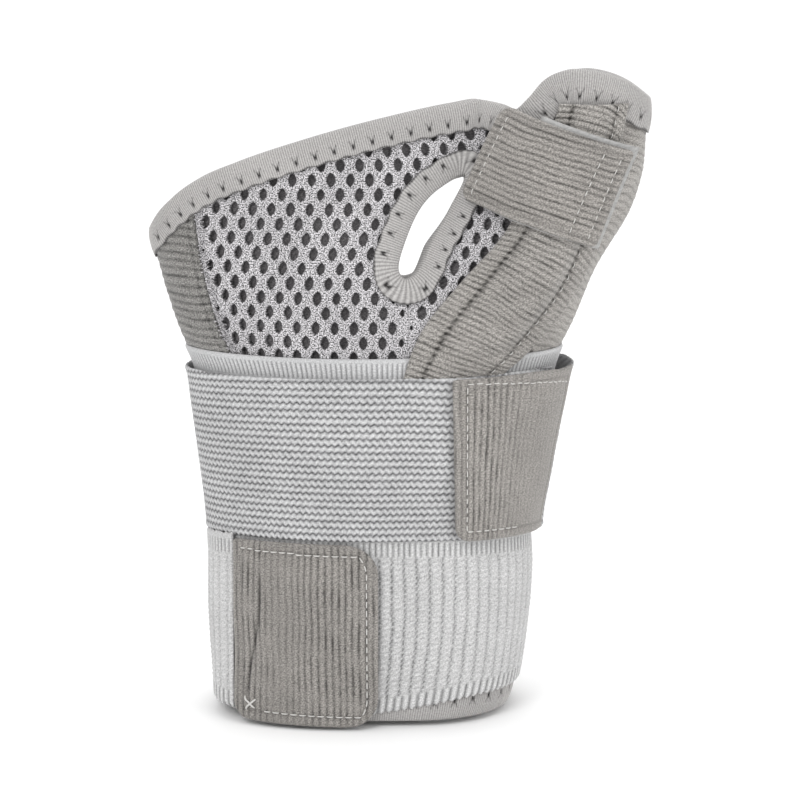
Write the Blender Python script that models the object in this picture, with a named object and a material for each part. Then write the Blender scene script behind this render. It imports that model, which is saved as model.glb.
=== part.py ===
"""Wrist brace: a fabric sleeve for the wrist, palm and thumb, with two wrist straps and a thumb strap.

The sleeve stands on its lower binding: +Z runs from the forearm to the fingers, -Y is the palm side,
and +X is the thumb side. Sizes are in millimetres, and turn into metres where a mesh is made. There the
origin also moves from the forearm's axis to the middle of the base, under the middle of the whole object.
Every piece is laid on one base surface, the outer face of the sleeve's panels. A place on it is an
angle and a height: the angle is 0 at the little finger's side, half a turn at the thumb's side,
with the palm between them, and the back of the hand beyond.
"""
import math

import bmesh
import bpy
import numpy as np
from mathutils import Matrix, Vector

MM = 0.001
GAP = 0.4
BASE_MIDDLE = Vector((7.7, -0.2, 0.0))

# Layers, as distances from the base surface, outward positive: (inner face, outer face)
PANEL = (-1.4, 0.0)
LINING = (-2.3, -1.8)
BINDING_OUTER = (0.45, 1.0)
BINDING_INNER = (-4.2, -3.65)
BINDING_TURN = 0.6
UNDERLAP = (0.35, 0.95)
UPPER_ELASTIC = (2.4, 3.1)
UPPER_HOOK = (3.45, 4.05)
UPPER_TAB = (4.4, 5.1)
LOWER_ELASTIC = (1.35, 2.05)
LOWER_HOOK = (2.4, 3.0)
LOWER_TAB = (3.35, 4.05)
STAY = (0.8, 2.0)
THUMB_HOOK = (3.35, 3.95)
POCKET_CLOTH = 0.7
POCKET_RISE = 2.0
THUMB_STRAP_CLOTH = 0.9
THUMB_STRAP_INNER = 2.5
THUMB_STRAP_RISE = 1.8

# Widths and heights
BINDING_WIDTH = 6.0
WEB_BINDING_WIDTH = 5.4
PANEL_BELOW_RIM = 2.4
LINING_BELOW_RIM = 8.5
UPPER_STRAP_LOW = 43.6
UPPER_STRAP_LIFT = 2.2
UPPER_STRAP_TOP = 83.5
UNDERLAP_HEIGHTS = (50.0, 88.0)
LOWER_STRAP_LOW = 3.4
LOWER_STRAP_TOP = 39.5
LOWER_STRAP_LIFT = 4.5
LOWER_TAB_LOW = 0.8
HOOK_MARGIN = 4.0
HINGE_EMPTY_SIZE = 20.0
POCKET_FOOT = 82.0
POCKET_TOP = 147.0
STAY_HEIGHTS = (95.0, 143.0)
STAY_SHARE = (0.38, 0.62)

# Where the pocket's cloth rises: share of its width over the stay, heights above the strap and at the rim
POCKET_SHOULDER = (0.16, 0.32)
POCKET_ABOVE_STRAP = (86.0, 92.0)
POCKET_OVER_BINDING = (136.0, 141.0)

# The straps' ends as angles, and where their loose ends lie across the palm
UNDERLAP_END = 0.1
UPPER_START = 2.75
UPPER_HINGE = math.pi - 0.12
UPPER_TAB_END = 18.4
UPPER_HOOK_FROM_HINGE = 0.25
LOWER_START = 0.85
LOWER_SEAM = -28.7
LOWER_TAB_END = 3.0
LOWER_HOOK_FROM_START = 0.05
HOOK_FROM_EDGE = 1.0
TAB_OVERHANG = 0.7
RISE_LENGTH = 0.9

# Gaps as angles, between a strap and the loose end sewn to it
UPPER_STRAP_TO_HINGE = 0.04
UPPER_TAB_TO_HINGE = 0.01
LOWER_STRAP_TO_SEAM = 0.02
LOWER_TAB_TO_SEAM = 0.01
THUMB_STRAP_CORNERS = {"low_left": (22.8, 124.5), "low_right": (51.0, 115.2),
                       "high_left": (33.9, 146.2), "high_right": (59.6, 136.3)}
THUMB_STRAP_CLIMB = 0.42
THUMB_HOOK_ACROSS = (0.1, 0.9)
THUMB_HOOK_ALONG = (0.76, 0.97)

# Heights of the cross lines that all layers share in the straight part, and how many lie above them
LOW_ROWS = [1.4, 14, 27, 38, 50, 62, 74, 86]
HIGH_ROWS = 10


def curve(points):
    """A smooth function through (place, value) points."""
    at, value = np.array(points, float).T
    slope = np.gradient(value, at)

    def read(where):
        where = np.clip(where, at[0], at[-1])
        i = np.clip(np.searchsorted(at, where, side="right") - 1, 0, len(at) - 2)
        span = at[i + 1] - at[i]
        t = (where - at[i]) / span
        rest = 1 - t
        ends = (1 + 2 * t) * rest**2 * value[i] + (3 - 2 * t) * t**2 * value[i + 1]
        return ends + t * rest * span * (rest * slope[i] - t * slope[i + 1])

    return read


# The sleeve's shape at each height
ULNAR_SIDE = curve([(0, -34), (20, -35.2), (40, -35.4), (60, -37), (74, -38.8), (84, -40.6),
                    (91, -43.8), (100, -46.8), (114, -50.4), (135, -55), (165, -61)])
RADIAL_SIDE = curve([(0, 33.5), (15, 36.6), (35, 38), (44, 37.6), (60, 40), (75, 43), (84, 44.8),
                     (91, 47.6), (104, 53.2), (113, 57.9), (122, 62.5), (130, 65.3), (140, 65.8),
                     (150, 66.6), (165, 69)])
HAND_RADIAL = curve([(0, 33.5), (15, 36.6), (35, 38), (44, 37.6), (60, 40), (75, 42.6), (88, 42),
                     (105, 37), (120, 36), (135, 40), (150, 44), (165, 47)])
THUMB_ULNAR = curve([(0, 5), (60, 5), (85, 6), (100, 11.5), (110, 16), (120, 20), (130, 24), (140, 28),
                     (150, 31.5), (165, 36)])
HAND_DEPTH = curve([(0, 24.5), (40, 26), (80, 26), (100, 23), (116, 20.5), (135, 18), (165, 15)])
THUMB_DEPTH = curve([(0, 12), (60, 15), (85, 18), (100, 18.5), (115, 17.5), (130, 16.5), (165, 14.5)])
THUMB_FORWARD = curve([(0, 0), (70, 0), (90, 0), (120, 4), (165, 6)])
WEB_BLEND = 20.0
PARTING = (76, 96)
SQUARENESS = curve([(0, 2.7), (8, 2.4), (20, 2.1), (32, 2.0), (165, 2.0)])

# The upper rim: height against x, over the fingers, down into the web and up over the thumb
RIM_FRONT = curve([(-52, 113.5), (-49, 119.2), (-45, 123.8), (-38.4, 128.7), (-30, 132.5), (-14, 138),
                   (4, 142.8), (21, 146), (27, 146.6), (31, 146), (35, 145), (38, 147.8), (41.5, 152),
                   (46, 154.2), (51, 154.3), (57, 153), (62.5, 150.3), (66.5, 147)])
RIM_BACK = curve([(-52, 113.5), (-45, 121), (-30, 127.5), (-14, 132), (4, 136.5), (21, 140), (31, 141.5),
                  (35, 141.6), (40, 146), (46, 150.6), (51, 152.2), (57, 151.8), (62.5, 149.8), (66.5, 147)])
CROTCH = 35.0

# The opening in the web, and the panels' edges beside it: x against height
HOLE_FRONT = [(23.6, 130.0), (17.0, 127.0), (12.4, 122.2), (9.0, 114.8), (7.5, 108.8), (9.5, 105.9),
              (12.7, 108.0), (15.9, 114.6), (20.0, 121.8)]
HOLE_BACK = [(24.2, 127.6), (16.2, 124.5), (11.0, 119.2), (7.5, 112.2), (5.8, 104.5), (8.6, 100.8),
             (13.6, 103.2), (17.6, 110.8), (22.0, 119)]
PALM_EDGE = curve([(0, 7.8), (50, 8.8), (90, 9.7), (98, 9.7), (102, 8.4), (106, 5.9), (109, 5.2),
                   (115, 6.6), (119, 7.9), (122.5, 9.4), (126, 11.9), (129, 15.2), (132, 20.5),
                   (134.5, 25.5), (139, 30), (145, 34.5)])
THUMB_EDGE = curve([(0, 8.4), (50, 9.4), (90, 10.3), (98, 10.7), (102, 11.6), (106.5, 14.4), (109.4, 16),
                    (115, 18.8), (121, 22.2), (126, 24.9), (131.5, 27.2), (134.5, 28), (139, 31),
                    (145, 35.3)])
BACK_PALM_EDGE = curve([(0, 7.8), (50, 8.8), (75, 9.3), (88, 9.6), (94, 9.2), (98, 6.4), (101, 4.2),
                        (104.5, 3.4), (112, 5), (117, 7.2), (121, 9.6), (125, 13.4), (129, 20),
                        (132, 25.5), (137, 30), (142, 34.4)])
BACK_THUMB_EDGE = curve([(0, 8.4), (50, 9.4), (75, 9.9), (88, 10.2), (94, 11), (98, 13.4), (101, 15.2),
                         (104, 16.6), (111, 20.2), (119, 24.6), (125, 26.9), (130, 27.9), (134, 29.2),
                         (137, 31), (142, 35.4)])
ULNAR_SEAM = curve([(0, -26), (60, -27), (84, -29.6), (92, -33.6), (107, -37.8), (121, -39.8), (135, -41)])
THUMB_SEAM = curve([(0, 26), (84, 37.5), (100, 43), (115, 49.5), (130, 56), (145, 58.5), (156, 60)])
SEAM_GAP = 0.5
CROTCH_GAP = 1.3

# The stay pocket's two edges: x against height
POCKET_LEFT = curve([(78, 7.5), (84, 9), (94.5, 13.4), (105.5, 22.5), (116.5, 32.2), (125, 37),
                     (140, 43), (150, 46)])
POCKET_RIGHT = curve([(78, 26), (84, 31.5), (90, 38.9), (98, 46), (104, 49.8), (111, 52.6), (118, 54.5),
                      (130, 57), (140, 58.6), (150, 60.5)])


def step_up(value, low, high):
    t = np.clip((value - low) / (high - low), 0, 1)
    return t * t * (3 - 2 * t)


def lobe(x, low, high, depth, inner, spread, power=2.0):
    """Half the depth of an oval between two sides, falling below zero beyond them.

    inner is the side that faces the other lobe, and spread how far the oval runs out into it as a slope."""
    t = (2 * x - low - high) / (high - low)
    oval = np.maximum(1 - np.abs(t) ** power, 0) ** (1 / power) - np.sqrt(np.maximum(t * t - 1, 0))
    slope = 1 - 0.55 * t**2 - 0.45 * t**4
    share = np.where(t * inner > 0, spread, 0)
    return depth * (oval * (1 - share) + slope * share)


def smooth_max(a, b, reach):
    reach = np.maximum(reach, 1e-6)
    share = np.maximum(reach - np.abs(a - b), 0) / reach
    return np.maximum(a, b) + share**2 * reach / 4


def x_at(theta, z):
    low, high = ULNAR_SIDE(z), RADIAL_SIDE(z)
    return (low + high) / 2 - (high - low) / 2 * np.cos(theta)


def angle_at(x, z, back=False):
    low, high = ULNAR_SIDE(z), RADIAL_SIDE(z)
    theta = np.arccos(np.clip((low + high - 2 * x) / (high - low), -1, 1))
    return -theta if back else theta


def surface(theta, z):
    """Points of the base surface."""
    theta, z = np.broadcast_arrays(np.asarray(theta, float), np.asarray(z, float))
    x = x_at(theta, z)
    parting = step_up(z, *PARTING)
    hand = lobe(x, ULNAR_SIDE(z), HAND_RADIAL(z), HAND_DEPTH(z), 1, parting, SQUARENESS(z))
    thumb = lobe(x, THUMB_ULNAR(z), RADIAL_SIDE(z), THUMB_DEPTH(z), -1, 1.0)
    reach = WEB_BLEND * np.abs(np.sin(theta))
    front = -smooth_max(hand, thumb + THUMB_FORWARD(z), reach)
    back = smooth_max(hand, thumb - THUMB_FORWARD(z), reach)
    return np.stack([x, np.where(np.sin(theta) >= 0, front, back), z], -1)


def unit(vectors):
    return vectors / np.linalg.norm(vectors, axis=-1, keepdims=True)


def slopes(theta, z):
    """How the surface moves for each radian and each millimetre of height."""
    turn, lift = 0.004, 0.1
    along = (surface(theta + turn, z) - surface(theta - turn, z)) / (2 * turn)
    up = (surface(theta, z + lift) - surface(theta, z - lift)) / (2 * lift)
    return along, up


def normal(theta, z):
    along, up = slopes(theta, z)
    return unit(np.cross(along, up))


def place(theta, z, offset):
    """Points at a distance outside the base surface."""
    points = surface(theta, z)
    distance = np.broadcast_to(offset, points.shape[:-1])
    return points + normal(theta, z) * distance[..., None]


def walk(theta, z, direction, distance, steps=4):
    """Angles and heights reached by walking over the surface along a direction."""
    theta, z = np.array(theta, float), np.array(z, float)
    for _ in range(steps):
        along, up = slopes(theta, z)
        stretch = np.stack([along, up], -1)
        move = np.linalg.pinv(stretch) @ (unit(direction) * distance / steps)[..., None]
        theta += move[..., 0, 0]
        z += move[..., 1, 0]
    return theta, z


def rim(theta, z):
    x = x_at(theta, z)
    return np.where(np.sin(theta) >= 0, RIM_FRONT(x), RIM_BACK(x))


def rim_height(theta):
    """The height of the upper rim at each angle."""
    z = np.full(np.shape(theta), 130.0)
    for _ in range(60):
        z = 0.6 * z + 0.4 * rim(theta, z)
    return z


def material(name, colour, roughness, metallic=0.0):
    made = bpy.data.materials.new(name)
    made.use_nodes = True
    shader = made.node_tree.nodes["Principled BSDF"]
    shader.inputs["Base Color"].default_value = (*colour, 1)
    shader.inputs["Roughness"].default_value = roughness
    shader.inputs["Metallic"].default_value = metallic
    return made


def add_object(name, points, faces, look):
    """A named mesh object from points in millimetres, with its faces turned outward."""
    mesh = bpy.data.meshes.new(name)
    mesh.from_pydata([(Vector(point) - BASE_MIDDLE) * MM for point in points], [], faces)
    work = bmesh.new()
    work.from_mesh(mesh)
    bmesh.ops.recalc_face_normals(work, faces=work.faces)
    bmesh.ops.triangulate(work, faces=work.faces)
    work.to_mesh(mesh)
    work.free()
    mesh.shade_smooth()
    mesh.set_sharp_from_angle(angle=math.radians(40))
    mesh.materials.append(look)
    made = bpy.data.objects.new(name, mesh)
    bpy.context.scene.collection.objects.link(made)
    return made


def sheet(name, theta, z, inner, outer, look):
    """A closed sheet of cloth over a grid of angles and heights, between two offsets."""
    columns, rows = theta.shape
    low = place(theta, z, inner).reshape(-1, 3)
    high = place(theta, z, outer).reshape(-1, 3)
    count = columns * rows
    faces = []
    for i in range(columns - 1):
        for j in range(rows - 1):
            here, across = i * rows + j, (i + 1) * rows + j
            face = (here, across, across + 1, here + 1)
            faces.append(face)
            faces.append(tuple(corner + count for corner in reversed(face)))
    border = [(i, 0) for i in range(columns)]
    border += [(columns - 1, j) for j in range(1, rows)]
    border += [(i, rows - 1) for i in range(columns - 2, -1, -1)]
    border += [(0, j) for j in range(rows - 2, 0, -1)]
    ring = [i * rows + j for i, j in border]
    for a, b in zip(ring, ring[1:] + ring[:1]):
        faces.append((b, a, a + count, b + count))
    return add_object(name, np.concatenate([low, high]), faces, look)


def panel_grid(start, end, shares, below_rim=PANEL_BELOW_RIM):
    """A grid between two side curves, from the lower edge up to just under the rim."""
    u = np.asarray(shares, float)[:, None]
    straight = len(LOW_ROWS)
    z = np.concatenate([LOW_ROWS, np.linspace(LOW_ROWS[-1], 125, HIGH_ROWS + 1)[1:]]) + 0 * u
    rise = np.linspace(0, 1, HIGH_ROWS + 1)[1:]
    for _ in range(80):
        theta = start(z) * (1 - u) + end(z) * u
        top = rim(theta, z)[:, straight:] - below_rim
        z[:, straight:] = 0.6 * z[:, straight:] + 0.4 * (LOW_ROWS[-1] * (1 - rise) + top * rise)
    return theta, z


def even(count):
    return np.linspace(0, 1, count + 1)


def dense_start(count):
    return even(count) ** 1.5


def dense_end(count):
    return 1 - (1 - even(count)) ** 1.5


def dense_ends(count):
    return 0.4 * even(count) + 0.3 * (1 - np.cos(math.pi * even(count)))


def swept(name, stations, look, closed):
    """A body with the same section at each station, closed into a ring or capped at both ends."""
    sections, corners = stations.shape[:2]
    faces = []
    for i in range(sections if closed else sections - 1):
        following = (i + 1) % sections
        for k in range(corners):
            after = (k + 1) % corners
            faces.append((i * corners + k, i * corners + after,
                          following * corners + after, following * corners + k))
    if not closed:
        faces.append(tuple(range(corners)))
        faces.append(tuple((sections - 1) * corners + k for k in reversed(range(corners))))
    return add_object(name, stations.reshape(-1, 3), faces, look)


def binding(name, theta, z, width, look, closed=False, flip=1):
    """A tape folded over an edge: an outer and an inner leg on the sleeve, joined round the edge."""
    points = surface(theta, z)
    if closed:
        along = np.roll(points, -1, 0) - np.roll(points, 1, 0)
    else:
        along = np.gradient(points, axis=0)
    inward = unit(np.cross(normal(theta, z), along)) * flip
    middle = walk(theta, z, inward, width / 2)
    far = walk(theta, z, inward, width)
    outer_low, outer_high = BINDING_OUTER
    inner_low, inner_high = BINDING_INNER
    turn = -inward * BINDING_TURN
    edge = (theta, z)
    section = [place(*far, outer_low), place(*middle, outer_low), place(*edge, outer_low),
               place(*edge, inner_high), place(*middle, inner_high), place(*far, inner_high),
               place(*far, inner_low), place(*middle, inner_low), place(*edge, inner_low) + turn,
               place(*edge, outer_high) + turn, place(*middle, outer_high), place(*far, outer_high)]
    return swept(name, np.stack(section, 1), look, closed)


def closed_spline(points, count):
    """Points spaced evenly along a smooth closed curve."""
    points = np.array(points, float)
    size = len(points)
    fine = []
    for i in range(size):
        a, b, c, d = (points[(i + k) % size] for k in (-1, 0, 1, 2))
        for t in np.linspace(0, 1, 24, endpoint=False):
            fine.append(0.5 * (2 * b + (c - a) * t + (2 * a - 5 * b + 4 * c - d) * t**2
                               + (3 * b - a - 3 * c + d) * t**3))
    fine = np.array(fine + fine[:1])
    length = np.concatenate([[0], np.cumsum(np.linalg.norm(np.diff(fine, axis=0), axis=1))])
    at = np.linspace(0, length[-1], count, endpoint=False)
    return np.stack([np.interp(at, length, fine[:, 0]), np.interp(at, length, fine[:, 1])], -1)


def sleeve_panels(looks):
    """The outer panels: palm, back, little-finger edge, thumb front and thumb back."""
    half_gap = SEAM_GAP / 2
    ulnar = panel_grid(lambda z: angle_at(ULNAR_SEAM(z) - half_gap, z, back=True),
                       lambda z: angle_at(ULNAR_SEAM(z) - half_gap, z), even(12))
    palm = panel_grid(lambda z: angle_at(ULNAR_SEAM(z) + half_gap, z),
                      lambda z: angle_at(PALM_EDGE(z), z), dense_end(9))
    back = panel_grid(lambda z: angle_at(BACK_PALM_EDGE(z), z, back=True),
                      lambda z: angle_at(ULNAR_SEAM(z) + half_gap, z, back=True), dense_start(8))
    thumb_front = panel_grid(lambda z: angle_at(THUMB_EDGE(z), z),
                             lambda z: angle_at(THUMB_SEAM(z) - half_gap, z), dense_start(8))
    thumb_back = panel_grid(lambda z: angle_at(THUMB_SEAM(z) + half_gap, z),
                            lambda z: 2 * math.pi + angle_at(BACK_THUMB_EDGE(z), z, back=True),
                            dense_end(17))
    sheet("ulnar_edge_panel", *ulnar, *PANEL, looks["loop"])
    sheet("palm_mesh_panel", *palm, *PANEL, looks["mesh"])
    sheet("back_hand_panel", *back, *PANEL, looks["mesh"])
    sheet("thumb_mesh_panel", *thumb_front, *PANEL, looks["mesh"])
    sheet("thumb_back_panel", *thumb_back, *PANEL, looks["loop"])


def linings(looks):
    hand = panel_grid(lambda z: angle_at(BACK_PALM_EDGE(z), z, back=True),
                      lambda z: angle_at(PALM_EDGE(z), z), dense_ends(26), LINING_BELOW_RIM)
    thumb = panel_grid(lambda z: angle_at(THUMB_EDGE(z), z),
                       lambda z: 2 * math.pi + angle_at(BACK_THUMB_EDGE(z), z, back=True),
                       dense_ends(24), LINING_BELOW_RIM)
    sheet("hand_lining", *hand, *LINING, looks["lining"])
    sheet("thumb_lining", *thumb, *LINING, looks["lining"])


def rim_bindings(looks):
    """Tapes over the finger opening and the thumb opening, which meet in the web."""
    half_gap = CROTCH_GAP / 2
    crotch_front = angle_at(CROTCH - half_gap, RIM_FRONT(CROTCH))
    crotch_back = angle_at(CROTCH - half_gap, RIM_BACK(CROTCH), back=True)
    fingers = np.linspace(crotch_back, crotch_front, 41)
    thumb_start = angle_at(CROTCH + half_gap, RIM_FRONT(CROTCH))
    thumb_end = 2 * math.pi + angle_at(CROTCH + half_gap, RIM_BACK(CROTCH), back=True)
    thumb = np.linspace(thumb_start, thumb_end, 24)
    for name, theta in (("finger_opening_binding", fingers), ("thumb_opening_binding", thumb)):
        binding(name, theta, rim_height(theta), BINDING_WIDTH, looks["tape"], flip=-1)


def web_bindings(looks):
    holes = (("web_binding_palm", HOLE_FRONT, -1), ("web_binding_back", HOLE_BACK, 1))
    for name, outline, flip in holes:
        x, z = closed_spline(outline, 24).T
        theta = angle_at(x, z, back=flip > 0)
        binding(name, theta, z, WEB_BINDING_WIDTH, looks["tape"], closed=True, flip=flip)


def wrist_binding(looks):
    """The tape round the lower edge, with a flat underside at height zero."""
    theta = np.linspace(0, 2 * math.pi, 44, endpoint=False)
    section = [(BINDING_WIDTH, BINDING_OUTER[0]), (BINDING_TURN, BINDING_OUTER[0]),
               (BINDING_TURN, BINDING_INNER[1]), (BINDING_WIDTH, BINDING_INNER[1]),
               (BINDING_WIDTH, BINDING_INNER[0]), (0.0, BINDING_INNER[0]), (0.0, BINDING_OUTER[1]),
               (BINDING_WIDTH, BINDING_OUTER[1])]
    rings = []
    for height, offset in section:
        ring = place(theta, height, offset)
        ring[:, 2] = height
        rings.append(ring)
    swept("wrist_opening_binding", np.stack(rings, 1), looks["tape"], closed=True)


def pocket_grid(columns, rows, heights, shares=(0.0, 1.0)):
    v = np.linspace(0, 1, rows + 1)[None, :]
    share = np.linspace(*shares, columns + 1)[:, None]
    z = heights[0] + (heights[1] - heights[0]) * v + 0 * share
    x = POCKET_LEFT(z) * (1 - share) + POCKET_RIGHT(z) * share
    return angle_at(x, z), z, share + 0 * z


def stay_pocket(looks):
    """A cloth sleeve sewn down along both edges, hollow between them, with the metal stay inside."""
    theta, z, share = pocket_grid(12, 10, (POCKET_FOOT, POCKET_TOP))
    over_stay = step_up(share, *POCKET_SHOULDER) * step_up(1 - share, *POCKET_SHOULDER)
    above_strap = step_up(z, *POCKET_ABOVE_STRAP)
    over_binding = step_up(z, *POCKET_OVER_BINDING)
    foot = UNDERLAP[1] + GAP
    flange = foot + (GAP - foot) * above_strap + BINDING_OUTER[1] * over_binding
    inner = np.maximum(flange, GAP + POCKET_RISE * over_stay * above_strap)
    sheet("stay_pocket", theta, z, inner, inner + POCKET_CLOTH, looks["loop"])
    theta, z, _ = pocket_grid(3, 8, STAY_HEIGHTS, STAY_SHARE)
    sheet("thumb_stay", theta, z, *STAY, looks["metal"])


def band_heights(low, high):
    """A strap's cross lines: its own edges and the sleeve's lines between them."""
    inside = [row for row in LOW_ROWS if low + 3 < row < high - 3]
    return np.array([low, *inside, high])


def band_grid(starts, ends, columns, low, high, low_lift=0.0, high_lift=0.0):
    """A grid along a strap, whose edges may stand higher over the palm than at the sides."""
    heights = band_heights(low, high)
    u = np.linspace(0, 1, columns + 1)[:, None]
    z = heights[None, :] + 0 * u
    theta = starts + (ends - starts) * u + 0 * z
    palm = np.maximum(np.sin(theta), 0)
    z[:, 0] += low_lift * palm[:, 0]
    z[:, -1] += high_lift * palm[:, -1]
    return theta, z


def rising(theta, low, high, start, end):
    """An offset that rises from one layer to the next between two angles."""
    return low + (high - low) * step_up((theta - start) / (end - start), 0, 1)


def hinge_empty(name, low, high, pieces):
    """An empty on a hinge's axis, its own Z along the axis, which carries the pieces that turn."""
    low, high = ((Vector(point) - BASE_MIDDLE) * MM for point in (low, high))
    turned = (high - low).to_track_quat("Z", "Y")
    frame = Matrix.LocRotScale((low + high) / 2, turned, None)
    carrier = bpy.data.objects.new(name, None)
    carrier.empty_display_size = HINGE_EMPTY_SIZE * MM
    carrier.matrix_world = frame
    bpy.context.scene.collection.objects.link(carrier)
    for piece in pieces:
        piece.parent = carrier
        piece.matrix_parent_inverse = frame.inverted()


def middle_of(layer):
    return sum(layer) / 2


def upper_strap(looks):
    """An elastic band from under its own loose end, round the back, up to the end that lies over it."""
    turn = 2 * math.pi
    theta, z = band_grid(UNDERLAP_END, turn - UNDERLAP_END, 44, *UNDERLAP_HEIGHTS)
    sheet("upper_strap_underlap", theta, z, *UNDERLAP, looks["elastic"])
    seam = UPPER_HINGE - turn + UPPER_STRAP_TO_HINGE
    strap = (UPPER_STRAP_LOW, UPPER_STRAP_TOP, UPPER_STRAP_LIFT)
    theta, z = band_grid(seam, UPPER_START, 42, *strap)
    lift = rising(theta, UPPER_TAB[0] - UPPER_ELASTIC[0], 0, seam, seam + RISE_LENGTH)
    sheet("upper_strap_elastic", theta, z, UPPER_ELASTIC[0] + lift, UPPER_ELASTIC[1] + lift, looks["elastic"])
    heights = band_heights(*strap[:2])
    loose = angle_at(UPPER_TAB_END, heights)
    theta, z = band_grid(loose, UPPER_HINGE - UPPER_TAB_TO_HINGE, 9, *strap)
    tab = sheet("upper_strap_tab", theta, z, *UPPER_TAB, looks["loop"])
    hook = (UPPER_STRAP_LOW + HOOK_MARGIN, UPPER_STRAP_TOP - HOOK_MARGIN)
    loose = angle_at(UPPER_TAB_END + HOOK_FROM_EDGE, band_heights(*hook))
    theta, z = band_grid(loose, UPPER_HINGE - UPPER_HOOK_FROM_HINGE, 7, *hook)
    patch = sheet("upper_strap_hook_patch", theta, z, *UPPER_HOOK, looks["hook"])
    ends = [place(UPPER_HINGE, height, middle_of(UPPER_TAB)) for height in strap[:2]]
    hinge_empty("upper_tab_hinge", *ends, (tab, patch))


def lower_strap(looks):
    """An elastic band wound the other way, with its loose end over the palm."""
    strap = (LOWER_STRAP_LOW, LOWER_STRAP_TOP)
    heights = band_heights(*strap)
    seam = 2 * math.pi + angle_at(LOWER_SEAM, heights) - LOWER_STRAP_TO_SEAM
    theta, z = band_grid(LOWER_START, seam, 42, *strap, 0.0, LOWER_STRAP_LIFT)
    lift = rising(theta, 0, LOWER_TAB[0] - LOWER_ELASTIC[0], seam - RISE_LENGTH, seam)
    sheet("lower_strap_elastic", theta, z, LOWER_ELASTIC[0] + lift, LOWER_ELASTIC[1] + lift, looks["pile"])
    span = (LOWER_TAB_LOW, UPPER_STRAP_LOW - TAB_OVERHANG)
    heights = band_heights(*span)
    theta, z = band_grid(angle_at(LOWER_SEAM, heights) + LOWER_TAB_TO_SEAM, angle_at(LOWER_TAB_END, heights),
                         9, *span, 0.0, UPPER_STRAP_LIFT)
    tab = sheet("lower_strap_tab", theta, z, *LOWER_TAB, looks["loop"])
    hook = (LOWER_STRAP_LOW + HOOK_MARGIN, LOWER_STRAP_TOP - HOOK_MARGIN)
    loose = angle_at(LOWER_TAB_END - HOOK_FROM_EDGE, band_heights(*hook))
    theta, z = band_grid(LOWER_START + LOWER_HOOK_FROM_START, loose, 7, *hook)
    patch = sheet("lower_strap_hook_patch", theta, z, *LOWER_HOOK, looks["hook"])
    ends = [place(angle_at(LOWER_SEAM, height), height, middle_of(LOWER_TAB)) for height in span[::-1]]
    hinge_empty("lower_tab_hinge", *ends, (tab, patch))


def thumb_strap_grid(columns, rows, across=(0.0, 1.0), along=(0.0, 1.0)):
    corner = {name: np.array(place_, float) for name, place_ in THUMB_STRAP_CORNERS.items()}
    u = np.linspace(*along, columns + 1)[:, None, None]
    v = np.linspace(*across, rows + 1)[None, :, None]
    low = corner["low_left"] * (1 - u) + corner["low_right"] * u
    high = corner["high_left"] * (1 - u) + corner["high_right"] * u
    spot = low * (1 - v) + high * v
    return angle_at(spot[..., 0], spot[..., 1]), spot[..., 1], u[..., 0] + 0 * v[..., 0]


def thumb_strap(looks):
    """A short strap sewn down in the web, which crosses the stay pocket and hooks on beyond it."""
    theta, z, along = thumb_strap_grid(12, 6)
    inner = THUMB_STRAP_INNER + THUMB_STRAP_RISE * step_up(along, 0.0, THUMB_STRAP_CLIMB)
    strap = sheet("thumb_strap", theta, z, inner, inner + THUMB_STRAP_CLOTH, looks["loop"])
    theta, z, _ = thumb_strap_grid(4, 4, THUMB_HOOK_ACROSS, THUMB_HOOK_ALONG)
    patch = sheet("thumb_strap_hook_patch", theta, z, *THUMB_HOOK, looks["hook"])
    middle = THUMB_STRAP_INNER + THUMB_STRAP_CLOTH / 2
    corners = (THUMB_STRAP_CORNERS[name] for name in ("high_left", "low_left"))
    hinge_empty("thumb_strap_hinge", *(place(angle_at(x, z), z, middle) for x, z in corners), (strap, patch))


def clear_scene():
    for old in list(bpy.data.objects):
        bpy.data.objects.remove(old, do_unlink=True)


def main():
    clear_scene()
    looks = {
        "mesh": material("spacer_mesh", (0.42, 0.42, 0.43), 0.85),
        "lining": material("lining_cloth", (0.09, 0.085, 0.085), 0.95),
        "loop": material("loop_cloth", (0.30, 0.285, 0.265), 0.95),
        "tape": material("binding_tape", (0.42, 0.41, 0.395), 0.8),
        "elastic": material("knitted_elastic", (0.60, 0.61, 0.62), 0.8),
        "pile": material("loop_elastic", (0.58, 0.58, 0.585), 0.95),
        "hook": material("hook_tape", (0.62, 0.62, 0.61), 0.5),
        "metal": material("aluminium_stay", (0.72, 0.72, 0.74), 0.35, 1.0),
    }
    sleeve_panels(looks)
    linings(looks)
    rim_bindings(looks)
    web_bindings(looks)
    wrist_binding(looks)
    stay_pocket(looks)
    upper_strap(looks)
    lower_strap(looks)
    thumb_strap(looks)


main()
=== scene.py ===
"""The looks of a wrist and thumb brace: knitted, ribbed and looped cloth laid round its fixed frame.

Shapes are worked out in millimetres, with x measured from the forearm's axis, and turn into metres and
the frame's origin where a mesh is made. The sleeve's base surface is the outer face of the frame's panels.
A place on it is an angle and a height: the angle is 0 at the little finger's side, half a turn at the
thumb's side, with the palm between them, and the back of the hand beyond.
"""
import math

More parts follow.
